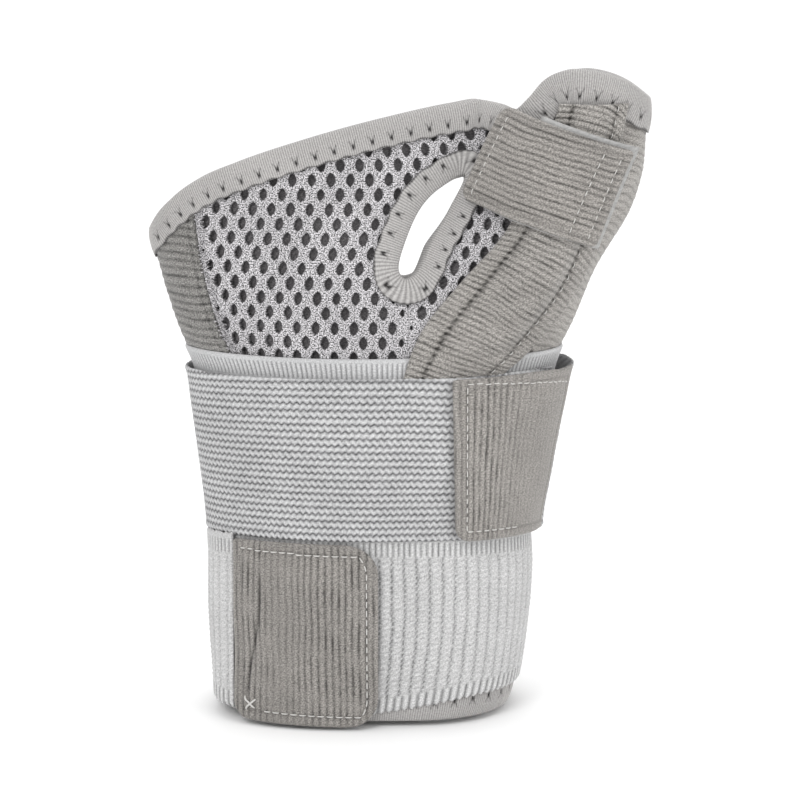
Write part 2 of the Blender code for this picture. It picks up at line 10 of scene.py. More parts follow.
import bmesh
import bpy
import numpy as np
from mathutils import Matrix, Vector


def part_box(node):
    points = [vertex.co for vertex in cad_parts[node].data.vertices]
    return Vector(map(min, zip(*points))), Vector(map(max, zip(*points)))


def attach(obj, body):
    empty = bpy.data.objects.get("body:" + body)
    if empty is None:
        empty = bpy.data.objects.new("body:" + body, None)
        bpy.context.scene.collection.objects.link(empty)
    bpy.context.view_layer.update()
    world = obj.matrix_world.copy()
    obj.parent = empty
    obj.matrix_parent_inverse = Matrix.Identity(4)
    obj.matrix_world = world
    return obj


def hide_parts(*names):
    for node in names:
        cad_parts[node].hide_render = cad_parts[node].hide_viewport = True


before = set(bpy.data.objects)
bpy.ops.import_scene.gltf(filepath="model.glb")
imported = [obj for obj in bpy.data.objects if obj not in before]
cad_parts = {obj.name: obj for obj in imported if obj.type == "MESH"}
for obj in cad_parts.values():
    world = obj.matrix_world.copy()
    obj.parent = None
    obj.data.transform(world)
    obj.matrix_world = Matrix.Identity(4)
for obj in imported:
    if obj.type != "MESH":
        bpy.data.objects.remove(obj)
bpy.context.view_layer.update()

MM = 0.001
BASE_MIDDLE = np.array([7.7, -0.2, 0.0])
TURN = 2 * math.pi


def curve(points):
    """A smooth function through (place, value) points."""
    at, value = np.array(points, float).T
    slope = np.gradient(value, at)

    def read(where):
        where = np.clip(where, at[0], at[-1])
        i = np.clip(np.searchsorted(at, where, side="right") - 1, 0, len(at) - 2)
        span = at[i + 1] - at[i]
        t = (where - at[i]) / span
        rest = 1 - t
        ends = (1 + 2 * t) * rest**2 * value[i] + (3 - 2 * t) * t**2 * value[i + 1]
        return ends + t * rest * span * (rest * slope[i] - t * slope[i + 1])

    return read


# The sleeve's shape at each height
ULNAR_SIDE = curve([(0, -34), (20, -35.2), (40, -35.4), (60, -37), (74, -38.8), (84, -40.6),
                    (91, -43.8), (100, -46.8), (114, -50.4), (135, -55), (165, -61)])
RADIAL_SIDE = curve([(0, 33.5), (15, 36.6), (35, 38), (44, 37.6), (60, 40), (75, 43), (84, 44.8),
                     (91, 47.6), (104, 53.2), (113, 57.9), (122, 62.5), (130, 65.3), (140, 65.8),
                     (150, 66.6), (165, 69)])
HAND_RADIAL = curve([(0, 33.5), (15, 36.6), (35, 38), (44, 37.6), (60, 40), (75, 42.6), (88, 42),
                     (105, 37), (120, 36), (135, 40), (150, 44), (165, 47)])
THUMB_ULNAR = curve([(0, 5), (60, 5), (85, 6), (100, 11.5), (110, 16), (120, 20), (130, 24), (140, 28),
                     (150, 31.5), (165, 36)])
HAND_DEPTH = curve([(0, 24.5), (40, 26), (80, 26), (100, 23), (116, 20.5), (135, 18), (165, 15)])
THUMB_DEPTH = curve([(0, 12), (60, 15), (85, 18), (100, 18.5), (115, 17.5), (130, 16.5), (165, 14.5)])
THUMB_FORWARD = curve([(0, 0), (70, 0), (90, 0), (120, 4), (165, 6)])
# How softly hand and thumb run into each other, and the heights between which they part
WEB_BLEND = 20.0
PARTING = (76, 96)
# How round the cuff's ends are: 2 is an oval, and more is squarer
SQUARENESS = curve([(0, 2.7), (8, 2.4), (20, 2.1), (32, 2.0), (165, 2.0)])

# The upper rim: height against x, over the fingers, down into the web and up over the thumb
RIM_FRONT = curve([(-52, 113.5), (-49, 119.2), (-45, 123.8), (-38.4, 128.7), (-30, 132.5), (-14, 138),
                   (4, 142.8), (21, 146), (27, 146.6), (31, 146), (35, 145), (38, 147.8), (41.5, 152),
                   (46, 154.2), (51, 154.3), (57, 153), (62.5, 150.3), (66.5, 147)])
RIM_BACK = curve([(-52, 113.5), (-45, 121), (-30, 127.5), (-14, 132), (4, 136.5), (21, 140), (31, 141.5),
                  (35, 141.6), (40, 146), (46, 150.6), (51, 152.2), (57, 151.8), (62.5, 149.8), (66.5, 147)])
# Where the finger and thumb openings meet, in x
CROTCH = 35.0

# The slit in the web: its two outlines as x and height, then the panels' edges, x against height
HOLE_FRONT = [(23.6, 130.0), (17.0, 127.0), (12.4, 122.2), (9.0, 114.8), (7.5, 108.8), (9.5, 105.9),
              (12.7, 108.0), (15.9, 114.6), (20.0, 121.8)]
HOLE_BACK = [(24.2, 127.6), (16.2, 124.5), (11.0, 119.2), (7.5, 112.2), (5.8, 104.5), (8.6, 100.8),
             (13.6, 103.2), (17.6, 110.8), (22.0, 119)]
PALM_EDGE = curve([(0, 7.8), (50, 8.8), (90, 9.7), (98, 9.7), (102, 8.4), (106, 5.9), (109, 5.2),
                   (115, 6.6), (119, 7.9), (122.5, 9.4), (126, 11.9), (129, 15.2), (132, 20.5),
                   (134.5, 25.5), (139, 30), (145, 34.5)])
THUMB_EDGE = curve([(0, 8.4), (50, 9.4), (90, 10.3), (98, 10.7), (102, 11.6), (106.5, 14.4), (109.4, 16),
                    (115, 18.8), (121, 22.2), (126, 24.9), (131.5, 27.2), (134.5, 28), (139, 31),
                    (145, 35.3)])
BACK_PALM_EDGE = curve([(0, 7.8), (50, 8.8), (75, 9.3), (88, 9.6), (94, 9.2), (98, 6.4), (101, 4.2),
                        (104.5, 3.4), (112, 5), (117, 7.2), (121, 9.6), (125, 13.4), (129, 20),
                        (132, 25.5), (137, 30), (142, 34.4)])
BACK_THUMB_EDGE = curve([(0, 8.4), (50, 9.4), (75, 9.9), (88, 10.2), (94, 11), (98, 13.4), (101, 15.2),
                         (104, 16.6), (111, 20.2), (119, 24.6), (125, 26.9), (130, 27.9), (134, 29.2),
                         (137, 31), (142, 35.4)])
# The seams at the little finger's side and at the thumb's: x against height
ULNAR_SEAM = curve([(0, -26), (60, -27), (84, -29.6), (92, -33.6), (107, -37.8), (121, -39.8), (135, -41)])
THUMB_SEAM = curve([(0, 26), (84, 37.5), (100, 43), (115, 49.5), (130, 56), (145, 58.5), (156, 60)])
# The stay pocket's two edges: x against height
POCKET_LEFT = curve([(78, 7.5), (84, 9), (94.5, 13.4), (105.5, 22.5), (116.5, 32.2), (125, 37),
                     (140, 43), (150, 46)])
POCKET_RIGHT = curve([(78, 26), (84, 31.5), (90, 38.9), (98, 46), (104, 49.8), (111, 52.6), (118, 54.5),
                      (130, 57), (140, 58.6), (150, 60.5)])


def step_up(value, low, high):
    t = np.clip((value - low) / (high - low), 0, 1)
    return t * t * (3 - 2 * t)


def blend(a, b, share):
    return a * (1 - share) + b * share


def bell(value, width):
    return np.exp(-((value / width) ** 2))


def lobe(x, low, high, depth, inner, spread, power=2.0):
    """Half the depth of an oval between two sides, falling below zero beyond them.

    inner is the side that faces the other lobe, and spread how far the oval runs out into it as a slope."""
    t = (2 * x - low - high) / (high - low)
    oval = np.maximum(1 - np.abs(t) ** power, 0) ** (1 / power) - np.sqrt(np.maximum(t * t - 1, 0))
    slope = 1 - 0.55 * t**2 - 0.45 * t**4
    share = np.where(t * inner > 0, spread, 0)
    return depth * (oval * (1 - share) + slope * share)


def smooth_max(a, b, reach):
    reach = np.maximum(reach, 1e-6)
    share = np.maximum(reach - np.abs(a - b), 0) / reach
    return np.maximum(a, b) + share**2 * reach / 4


def x_at(theta, z):
    low, high = ULNAR_SIDE(z), RADIAL_SIDE(z)
    return (low + high) / 2 - (high - low) / 2 * np.cos(theta)


def angle_at(x, z, back=False):
    low, high = ULNAR_SIDE(z), RADIAL_SIDE(z)
    theta = np.arccos(np.clip((low + high - 2 * x) / (high - low), -1, 1))
    return -theta if back else theta


def surface(theta, z):
    """Points of the base surface."""
    theta, z = np.broadcast_arrays(np.asarray(theta, float), np.asarray(z, float))
    x = x_at(theta, z)
    parting = step_up(z, *PARTING)
    hand = lobe(x, ULNAR_SIDE(z), HAND_RADIAL(z), HAND_DEPTH(z), 1, parting, SQUARENESS(z))
    thumb = lobe(x, THUMB_ULNAR(z), RADIAL_SIDE(z), THUMB_DEPTH(z), -1, 1.0)
    reach = WEB_BLEND * np.abs(np.sin(theta))
    front = -smooth_max(hand, thumb + THUMB_FORWARD(z), reach)
    back = smooth_max(hand, thumb - THUMB_FORWARD(z), reach)
    return np.stack([x, np.where(np.sin(theta) >= 0, front, back), z], -1)


def unit(vectors):
    return vectors / np.linalg.norm(vectors, axis=-1, keepdims=True)


def slopes(theta, z):
    """How the surface moves for each radian and each millimetre of height."""
    turn, lift = 0.004, 0.1
    along = (surface(theta + turn, z) - surface(theta - turn, z)) / (2 * turn)
    up = (surface(theta, z + lift) - surface(theta, z - lift)) / (2 * lift)
    return along, up


def normal(theta, z):
    along, up = slopes(theta, z)
    return unit(np.cross(along, up))


def place(theta, z, offset):
    """Points at a distance outside the base surface."""
    points = surface(theta, z)
    distance = np.broadcast_to(offset, points.shape[:-1])
    return points + normal(theta, z) * distance[..., None]


def walk(theta, z, direction, distance):
    """Angles and heights reached by a short walk over the surface along a direction."""
    stretch = np.stack(slopes(theta, z), -1)
    move = np.linalg.pinv(stretch) @ (unit(direction) * distance)[..., None]
    return theta + move[..., 0, 0], z + move[..., 1, 0]


def rim(theta, z):
    x = x_at(theta, z)
    return np.where(np.sin(theta) >= 0, RIM_FRONT(x), RIM_BACK(x))


def rim_height(theta):
    """The height of the upper rim at each angle, closed in on by steps since the rim is a curve over x."""
    z = np.full(np.shape(theta), 130.0)
    for _ in range(60):
        z = blend(z, rim(theta, z), 0.4)
    return z


def span(node):
    """The lowest and highest corners of a frame node, in millimetres from the forearm's axis."""
    low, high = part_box(node)
    return np.array(low) / MM + BASE_MIDDLE, np.array(high) / MM + BASE_MIDDLE


def check_surface():
    """Stops the script if the base surface isn't the outer face of the frame's palm panel."""
    points = np.array([v.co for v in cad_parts["palm_mesh_panel"].data.vertices]) / MM + BASE_MIDDLE
    off = np.abs(surface(angle_at(points[:, 0], points[:, 2]), points[:, 2])[:, 1] - points[:, 1])
    if np.mean(off < 0.1) < 0.35:
        raise SystemExit("the base surface has left the frame's panels")


def waves(s, t, seed, size):
    """Smooth unevenness between about -1 and 1, the same each run."""
    rng = np.random.default_rng(seed)
    total = 0 * s * t
    for _ in range(7):
        angle, reach, phase = rng.uniform(0, TURN), rng.uniform(0.5, 1.7) * TURN / size, rng.uniform(0, TURN)
        total = total + np.sin(reach * (np.cos(angle) * s + np.sin(angle) * t) + phase)
    return total / 2.6


def grain(shape, seed):
    return np.random.default_rng(seed).normal(size=shape)


# ---------------------------------------------------------------- grids on the surface

def arc_lengths(points):
    steps = np.linalg.norm(np.diff(points, axis=0), axis=-1)
    return np.concatenate([0 * steps[:1], np.cumsum(steps, 0)])


def closed_spline(points, count):
    """Places spaced evenly along a smooth closed curve through the points."""
    a, b, c, d = (np.roll(np.array(points, float), -k, 0)[:, None] for k in (-1, 0, 1, 2))
    t = np.linspace(0, 1, 24, endpoint=False)[:, None]
    fine = 0.5 * (2 * b + (c - a) * t + (2 * a - 5 * b + 4 * c - d) * t**2 + (3 * b - a - 3 * c + d) * t**3)
    fine = fine.reshape(-1, 2)
    fine = np.append(fine, fine[:1], 0)
    length = arc_lengths(fine)
    at = np.linspace(0, length[-1], count, endpoint=False)
    return [np.interp(at, length, side) for side in fine.T]


def grid_lengths(theta, z):
    """The lengths along and up a grid on the surface."""
    points = surface(theta, z)
    return arc_lengths(points), arc_lengths(points.swapaxes(0, 1)).swapaxes(0, 1)


def band(start, end, low, high, pitch=0.4, rise=0.3):
    """A grid between two angles and two heights, evenly spaced along it, with its lengths s and t.

    start, end, low and high may be numbers or functions, of the height and of the angle."""
    ask = lambda value, at: value(at) if callable(value) else value + 0 * at
    near_palm = np.array([1.5])
    middle = (ask(low, near_palm) + ask(high, near_palm)) / 2
    first, last = (float(ask(side, middle)[0]) for side in (start, end))
    fine = np.linspace(first, last, 800)
    length = arc_lengths(surface(fine, middle))
    columns = max(int(length[-1] / pitch), 4)
    rows = max(int(np.mean(ask(high, fine) - ask(low, fine)) / rise), 3)
    s = np.linspace(0, length[-1], columns + 1)[:, None]
    share = (np.interp(s, length, fine) - first) / (last - first)
    v = np.linspace(0, 1, rows + 1)[None, :]
    theta = blend(first, last, share) + 0 * v
    for _ in range(3):
        z = blend(ask(low, theta), ask(high, theta), v)
        theta = blend(ask(start, z), ask(end, z), share)
    return theta, z, s + 0 * v, grid_lengths(theta, z)[1]


def rounded(theta, z, s, t, radii):
    """Draws a patch's ends in near its corners: radii are for the start's foot and head, then the end's."""
    def draw(radius, distance):
        inside = np.clip(radius - distance, 0, radius)
        return radius - np.sqrt(np.maximum(radius**2 - inside**2, 0))
    below_top = t[:, -1:] - t
    first = draw(radii[0], t) + draw(radii[1], below_top)
    last = draw(radii[2], t) + draw(radii[3], below_top)
    length = s[-1, 0]
    moved = first + (length - first - last) * (s / length)
    column = np.interp(moved, s[:, 0], np.arange(len(s)))
    low = np.clip(column.astype(int), 0, len(s) - 2)
    rows = np.arange(s.shape[1])[None, :]
    pick = lambda grid: blend(grid[low, rows], grid[low + 1, rows], column - low)
    return pick(theta), pick(z), moved, t


def scalloped(theta, z, s, t, pitch, amount):
    """Turns a patch's lower and upper edges into small loops."""
    reach = np.exp(-t / 0.7) - np.exp(-(t[:, -1:] - t) / 0.7)
    return theta, z + amount * reach * np.abs(np.sin(math.pi * s / pitch)) - amount * reach, s, t


def edge_distance(s, t):
    """How far each point of a patch is from its nearest edge."""
    return np.minimum(np.minimum(s - s[:1], s[-1:] - s), np.minimum(t, t[:, -1:] - t))


# ---------------------------------------------------------------- meshes

def add_object(name, data):
    made = bpy.data.objects.new(name, data)
    bpy.context.scene.collection.objects.link(made)
    return made


def new_object(name, points, faces, look, shade, flat):
    """A mesh object from points in millimetres, with a shade for each and flat lengths as its UV map."""
    mesh = bpy.data.meshes.new(name)
    mesh.from_pydata((np.asarray(points) - BASE_MIDDLE) * MM, [], faces)
    shades = mesh.attributes.new("shade", "FLOAT", "POINT")
    shades.data.foreach_set("value", np.ravel(shade).astype(np.float32))
    corner = np.empty(len(mesh.loops), np.int32)
    mesh.loops.foreach_get("vertex_index", corner)
    mesh.uv_layers.new(name="flat").data.foreach_set("uv", flat[corner].astype(np.float32).ravel())
    mesh.materials.append(LOOKS[look])
    mesh.shade_smooth()
    return add_object(name, mesh)


def tidy(made):
    """Merges points that coincide, and turns every face outward."""
    work = bmesh.new()
    work.from_mesh(made.data)
    bmesh.ops.remove_doubles(work, verts=work.verts, dist=2e-6)
    bmesh.ops.dissolve_degenerate(work, dist=1e-7, edges=work.edges)
    bmesh.ops.recalc_face_normals(work, faces=work.faces)
    work.to_mesh(made.data)
    work.free()
    made.data.shade_smooth()
    return made


def quads(columns, rows, first=0):
    i, j = np.meshgrid(np.arange(columns - 1), np.arange(rows - 1), indexing="ij")
    a = (i * rows + j).ravel() + first
    return np.stack([a, a + rows, a + rows + 1, a + 1], -1)


EDGE_ROUNDING, EDGE_REACH = 0.45, 0.7
THINNEST = 0.12
BACKING_PITCH = 2.6


def cloth(name, grid, layer, weave, look, step, facing):
    """A closed sheet: one face carries the weave, the other a light backing knit, and they join at the edges.

    The woven face looks outward, or inward if facing is -1. step is how much coarser the backing is."""
    theta, z, s, t = grid
    height, shade = weave
    columns, rows = theta.shape
    pick_i = np.unique(np.append(np.arange(0, columns, step), columns - 1))
    pick_j = np.unique(np.append(np.arange(0, rows, step), rows - 1))
    coarse = np.ix_(pick_i, pick_j)
    round_off = EDGE_ROUNDING * np.maximum(1 - edge_distance(s, t) / EDGE_REACH, 0) ** 2
    face, back = (side + 0 * s for side in layer[::-facing])
    lift = facing * np.maximum(facing * face + height - round_off, facing * back + THINNEST)
    top = place(theta, z, lift).reshape(-1, 3)
    knots = (np.cos(TURN * s / BACKING_PITCH) * np.cos(TURN * t / BACKING_PITCH))[coarse]
    under = place(theta[coarse], z[coarse], back[coarse] - facing * 0.05 * (1 + knots)).reshape(-1, 3)
    wide, high = len(pick_i), len(pick_j)
    inside = lambda i, j: columns * rows + i * high + j
    outside = lambda i, j: i * rows + j
    faces = quads(columns, rows).tolist() + quads(wide, high, columns * rows)[:, ::-1].tolist()
    for k in range(wide - 1):
        run = range(pick_i[k], pick_i[k + 1] + 1)
        faces.append([outside(i, 0) for i in reversed(run)] + [inside(k, 0), inside(k + 1, 0)])
        faces.append([outside(i, rows - 1) for i in run] + [inside(k + 1, high - 1), inside(k, high - 1)])
    for k in range(high - 1):
        run = range(pick_j[k], pick_j[k + 1] + 1)
        faces.append([outside(0, j) for j in run] + [inside(0, k + 1), inside(0, k)])
        faces.append([outside(columns - 1, j) for j in reversed(run)]
                     + [inside(wide - 1, k), inside(wide - 1, k + 1)])
    if facing < 0:
        faces = [face[::-1] for face in faces]
    shades = np.append(np.clip(shade + 0 * s, 0, 1), 0.55 + 0.2 * knots)
    flat = np.stack([s, t], -1)
    flat = np.concatenate([flat.reshape(-1, 2), flat[coarse].reshape(-1, 2)])
    return new_object(name, np.concatenate([top, under]), faces, look, shades, flat)


def flat_size(grid):
    """A patch's width and length in metres, and its area, before it was sewn round the hand."""
    theta, z, s, t = grid
    points = surface(theta, z) * MM
    one = points[1:, 1:] - points[:-1, :-1]
    two = points[:-1, 1:] - points[1:, :-1]
    area = float(np.linalg.norm(np.cross(one, two), axis=-1).sum() / 2)
    wide, long = float(np.ptp(s)) * MM, float(t.max()) * MM
    return (wide, max(long, area / wide * 1.001)), area


def declare(made, node, body, grid):
    """Parents a sheet to the body it rides on and hides the frame node it stands for; the size it was cut to
    is worked out but not used.
    """
    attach(made, body)
    if node:
        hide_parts(node)
    flat, area = flat_size(grid)


def sheet(name, node, body, look, grid, layer, weave, step=4, facing=1):
    """Makes a sheet of cloth between the two distances in layer, parents it to its body and hides its frame
    node.
    """
    declare(cloth(name, grid, layer, weave, look, step, facing), node, body, grid)


def tube_faces(index, looped=False):
    """Faces of a tube whose rings are the rows of index: run round into a loop, or capped at both ends."""
    ring, after = (index, np.roll(index, -1, 0)) if looped else (index[:-1], index[1:])
    faces = np.stack([ring, np.roll(ring, -1, 1), np.roll(after, -1, 1), after], -1).reshape(-1, 4).tolist()
    return faces if looped else faces + [index[0][::-1].tolist(), index[-1].tolist()]


def dashes(name, paths, offset, body, dash, gap, radius, look="thread"):
    """Sewing thread along each path: rows of short stitches that dive into the cloth at their ends."""
    share = np.linspace(-1, 1, 7)
    around = np.arange(6) * TURN / 6
    size = radius * np.sqrt(np.maximum(1 - 0.75 * share**6, 0.05))[:, None]
    dive = radius * (1.6 - 3.2 * share**4)[:, None]
    up, aside = (dive + size * np.sin(around))[..., None], (size * np.cos(around))[..., None]
    stitches = []
    for theta, z in paths:
        line = place(theta, z, offset)
        length = arc_lengths(line)
        for start in np.arange(0, length[-1] - dash * 0.9, dash + gap):
            at = np.linspace(start, start + dash, len(share))
            middle = np.stack([np.interp(at, length, values) for values in line.T], -1)
            out = normal(np.interp(at, length, theta), np.interp(at, length, z))
            side = unit(np.cross(out, unit(np.gradient(middle, axis=0))))
            stitches.append(middle[:, None] + out[:, None] * up + side[:, None] * aside)
    points = np.reshape(stitches, (-1, 3))
    index = np.arange(len(points)).reshape(-1, len(share), len(around))
    faces = [face for stitch in index for face in tube_faces(stitch)]
    made = tidy(new_object(name, points, faces, look, np.full(len(points), 0.8), points[:, [0, 2]]))
    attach(made, body)


# ---------------------------------------------------------------- materials

def new_look(name):
    """A new material, and a function that adds nodes to it."""
    made = bpy.data.materials.new(name)
    made.use_nodes = True
    tree = made.node_tree

    def node(kind, inputs, **settings):
        """Adds a node, or takes the shader, sets or links its inputs, and gives its outputs."""
        new = tree.nodes["Principled BSDF"] if kind == "Shader" else tree.nodes.new("ShaderNode" + kind)
        for key, value in settings.items():
            setattr(new, key, value)
        for key, value in inputs.items():
            if isinstance(value, bpy.types.NodeSocket):
                tree.links.new(value, new.inputs[key])
            else:
                new.inputs[key].default_value = value
        return new.outputs

    return made, node


def cloth_look(name, dark, light, fleck, fleck_size, sheen, rough=(0.78, 0.95), bump=0.35, crisp=0.2):
    """Cloth whose colour runs from painted shade in its gaps and hollows to its threads, with flecks, uneven
    dye and a fibrous bump.
    """
    made, node = new_look(name)
    where = node("UVMap", {}, uv_map="flat")["UV"]
    shade = node("Attribute", {}, attribute_name="shade")["Fac"]

    def noise(scale, detail):
        return node("TexNoise", {"Vector": where, "Scale": scale, "Detail": detail})["Fac"]

    def ranged(value, low, high):
        return node("MapRange", {"Value": value, "From Min": 0.5 - crisp, "From Max": 0.5 + crisp,
                                 "To Min": low, "To Max": high})["Result"]

    fibre, patchy = noise(fleck_size, 2.0), noise(0.06, 1.0)
    # The shade attribute pulls the colour towards dark where the weaves paint shade into gaps, valleys and
    # hollows.
    colour = node("Mix", {"Factor": shade, "A": (*dark, 1), "B": (*light, 1)}, data_type="RGBA")["Result"]
    uneven = node("Math", {0: ranged(fibre, 1 - fleck, 1 + fleck), 1: ranged(patchy, 0.95, 1.05)},
                  operation="MULTIPLY")["Value"]
    tinted = node("VectorMath", {0: colour, "Scale": uneven}, operation="SCALE")["Vector"]
    relief = node("Bump", {"Strength": bump, "Distance": 0.12 * MM, "Height": fibre})["Normal"]
    node("Shader", {"Base Color": tinted, "Roughness": ranged(fibre, rough[1], rough[0]), "Normal": relief,
                    "Sheen Weight": sheen, "Sheen Roughness": 0.55, "Specular IOR Level": 0.25})
    return made


def metal_look():
    """Satin aluminium with a brushed grain."""
    made, node = new_look("satin_stay")
    where = node("Mapping", {"Vector": node("TexCoord", {})["Object"], "Scale": (900, 900, 40)})["Vector"]
    brushed = node("TexNoise", {"Vector": where})["Fac"]
    colour = node("Mix", {"Factor": brushed, "A": (0.55, 0.55, 0.57, 1), "B": (0.76, 0.76, 0.78, 1)},
                  data_type="RGBA")["Result"]
    rough = node("MapRange", {"Value": brushed, "To Min": 0.28, "To Max": 0.46})["Result"]
    node("Shader", {"Metallic": 1.0, "Base Color": colour, "Roughness": rough})
    return made


LOOKS = {
    "mesh": cloth_look("spacer_threads", (0.03, 0.028, 0.03), (0.40, 0.39, 0.40), 0.9, 3.2, 0.1,
                       bump=0.5, crisp=0.11),
    "lining": cloth_look("dark_lining", (0.07, 0.066, 0.068), (0.21, 0.20, 0.205), 0.5, 3.0, 0.1),
    "edge": cloth_look("edge_ribs", (0.012, 0.011, 0.01), (0.232, 0.225, 0.214), 0.5, 2.6, 0.2, crisp=0.13),
    "loop": cloth_look("loop_ribs", (0.03, 0.027, 0.024), (0.37, 0.352, 0.33), 0.42, 2.8, 0.2, crisp=0.13),
    "tab": cloth_look("tab_ribs", (0.04, 0.037, 0.034), (0.32, 0.302, 0.282), 0.34, 3.0, 0.2, crisp=0.13),
    "tape": cloth_look("stretch_tape", (0.02, 0.018, 0.018), (0.51, 0.495, 0.485), 0.18, 2.2, 0.15),
    "knit": cloth_look("knitted_elastic", (0.02, 0.02, 0.022), (0.55, 0.55, 0.555), 0.24, 3.0, 0.1),
    "pile": cloth_look("looped_elastic", (0.10, 0.10, 0.10), (0.56, 0.557, 0.557), 0.30, 2.8, 0.2),
    "hook": cloth_look("hook_nylon", (0.24, 0.24, 0.235), (0.46, 0.455, 0.45), 0.15, 2.0, 0.0, (0.35, 0.55)),
    "thread": cloth_look("light_thread", (0.42, 0.41, 0.39), (0.62, 0.61, 0.59), 0.12, 4.0, 0.1),
    "metal": metal_look(),
}


# ---------------------------------------------------------------- weaves: height in millimetres and shade

def speckle(one, two, seed):
    """A steady random number for each whole-number pair, such as a stitch and its row."""
    table = np.random.default_rng(seed).normal(size=(61, 127))
    return table[np.floor(one).astype(int) % 61, np.floor(two).astype(int) % 127]


def from_valley(phase, pitch):
    """How far each place is from the nearest dark valley between two cords."""
    return (0.5 - np.abs(phase % 1 - 0.5)) * pitch


def knit_weave(s, t):
    """Rows of plump zigzag stitches, with dark gaps of painted shade where one row meets the next."""
    row_pitch, stitch = 1.62, 1.5
    zig = 0.19 * (2 * np.abs(2 * (s / stitch % 1) - 1) - 1)
    row = t / row_pitch + zig
    lane = np.abs(np.sin(math.pi * row))
    slant = s / stitch + 0.5 * np.floor(row) + 0.35 * (row % 1)
    loop = 0.5 + 0.5 * np.cos(TURN * slant)
    height = 0.30 * lane**0.6 * (0.70 + 0.30 * loop)
    # Painted shade: darkest in the gaps between rows, lightest on the stitches' crowns.
    shade = 1.05 * lane**0.85 * (0.74 + 0.26 * loop)
    return height, shade + 0.025 * speckle(row, slant, 11) + 0.07 * grain(s.shape, 1)


def ladder(s, pitch):
    bars = np.abs(np.cos(math.pi * s / pitch))
    # Painted shade darkens the slots between the bars.
    return 0.26 * bars**0.8, np.clip(0.12 + 0.95 * bars**1.1, 0, 1)


def laced(s, t, pitch, reach, darkest=0.0):
    """The ladder under a strap's upper hem: its share of the cloth, its height and its shade."""
    below_top = t[:, -1:] - t
    top = step_up(below_top, *reach)
    lace = top * step_up(below_top, 0.9, 1.4)
    bars, tone = ladder(s, pitch)
    return top, blend(0.24, bars, lace), blend(0.85, blend(darkest, 1, tone), lace)


def rib_weave(across, along, pitch, seed, depth=0.26, wander=0.12):
    """Soft cords with narrow dark valleys of painted shade between them, a little uneven."""
    phase = across / pitch + wander * waves(across, along, seed, 14)
    crest = np.abs(np.sin(math.pi * phase))
    valley = bell(from_valley(phase, pitch), 0.27)
    fuzz = grain(across.shape, seed + 1)
    strength = 0.70 + 0.30 * waves(across * 2, along, seed + 2, 9)
    height = depth * crest**0.6 * (0.7 + 0.3 * strength) + 0.025 * fuzz
    # Painted shade: the valleys darken and the crests lighten.
    return height, np.clip(0.70 + 0.20 * crest - 0.60 * valley * strength + 0.10 * fuzz, 0, 1)


def pile_weave(s, t):
    """Columns of fuzzy chained loops, with dark slits of painted shade between them that fade towards the
    thumb's side.
    """
    pitch, chain_pitch = 2.9, 1.35
    column = s / pitch + 0.035 * waves(s, t, 5, 12)
    crest = np.abs(np.sin(math.pi * column))
    # How strongly the slits' painted shade shows. It weakens towards the thumb's side, partly from the
    # elastic's own look and partly as painted light where that side is lit more brightly.
    slit_shade_strength = np.clip(1.6 - s / 60, 0.4, 1.1)
    link = t / chain_pitch + 0.5 * np.floor(column)
    chain = 0.5 + 0.5 * np.cos(TURN * link + 0.5 * np.sin(TURN * column))
    fuzz = grain(s.shape, 6)
    slit = bell(from_valley(column, pitch), 0.40) * (0.08 + 0.92 * chain**0.7)
    height = 0.15 * crest**0.7 + 0.15 * chain * crest + 0.04 * fuzz - 0.1 * slit
    shade = 0.84 + 0.14 * chain * crest - slit_shade_strength * (0.85 * slit + 0.16 * (1 - chain) * crest) + 0.09 * fuzz
    shade = shade - 0.10 * slit_shade_strength * np.clip(speckle(column, link, 12), 0, 2) * (1 - crest)
    return height, np.clip(shade, 0, 1)


def hook_weave(s, t):
    """Stiff hooks in close rows, with painted shade between them."""
    hooks = np.clip(np.cos(TURN * s / 1.5) * np.cos(TURN * t / 1.2), 0, 1) ** 0.7
    return 0.4 * hooks, 0.30 + 0.70 * hooks


def hemmed(height, shade, distance, margin=2.5):
    """Presses a weave flat outside its seam, and pulls the cloth down along the seam."""
    inside = step_up(distance, margin, margin + 0.7)
    dip = bell(distance - margin, 0.35)
    height = height * (0.30 + 0.70 * inside) + 0.16 * (1 - inside) - 0.26 * dip
    return height, np.clip(shade * (0.80 + 0.20 * inside) + 0.13 * (1 - inside) - 0.15 * dip, 0, 1)


# ---------------------------------------------------------------- spacer mesh

CELL_PITCH, CELL_ROW = 4.5, 3.4
CELLS_EACH_WAY = 45
MESH_HEIGHTS = (70, 160)
HOLE_SIZE = (0.98, 1.62)
SMALL_HOLES = 2.4
# From a cell's outline to a hole's foot: each ring's share of the cell and of the hole, its lift and shade,
# the shade darkening down the hole's wall as painted shade
MESH_RINGS = [(1, 0, 0.02, 0.78), (0.55, 0.45, 0.13, 1.0), (0.15, 0.85, 0.08, 0.85), (0, 1, -0.12, 0.45),
              (0, 0.95, -0.5, 0.2), (0, 0.84, -1.2, 0.06)]
PALM = math.pi / 2
MESH_FOOT, PANEL_FOOT, HEAD_MARGIN = 80.0, 1.4, 2.2
# Half the height over which the slit's edges move apart
WEB_EASE = 2.2


def cell_outline():
    """The six-sided cell round each hole, its edges divided so that neighbouring cells share their points."""
    half, row = CELL_PITCH / 2, CELL_ROW
    peak = (row**2 + half**2) / (2 * row)
    shoulder = ((row**2 + half**2) / 2 - half**2) / row
    corners = np.array([(half, -shoulder), (half, shoulder), (0, peak),
                        (-half, shoulder), (-half, -shoulder), (0, -peak)])
    return np.concatenate([blend(a, b, np.arange(count)[:, None] / count)
                           for a, b, count in zip(corners, np.roll(corners, -1, 0), (2, 3, 3, 2, 3, 3))])


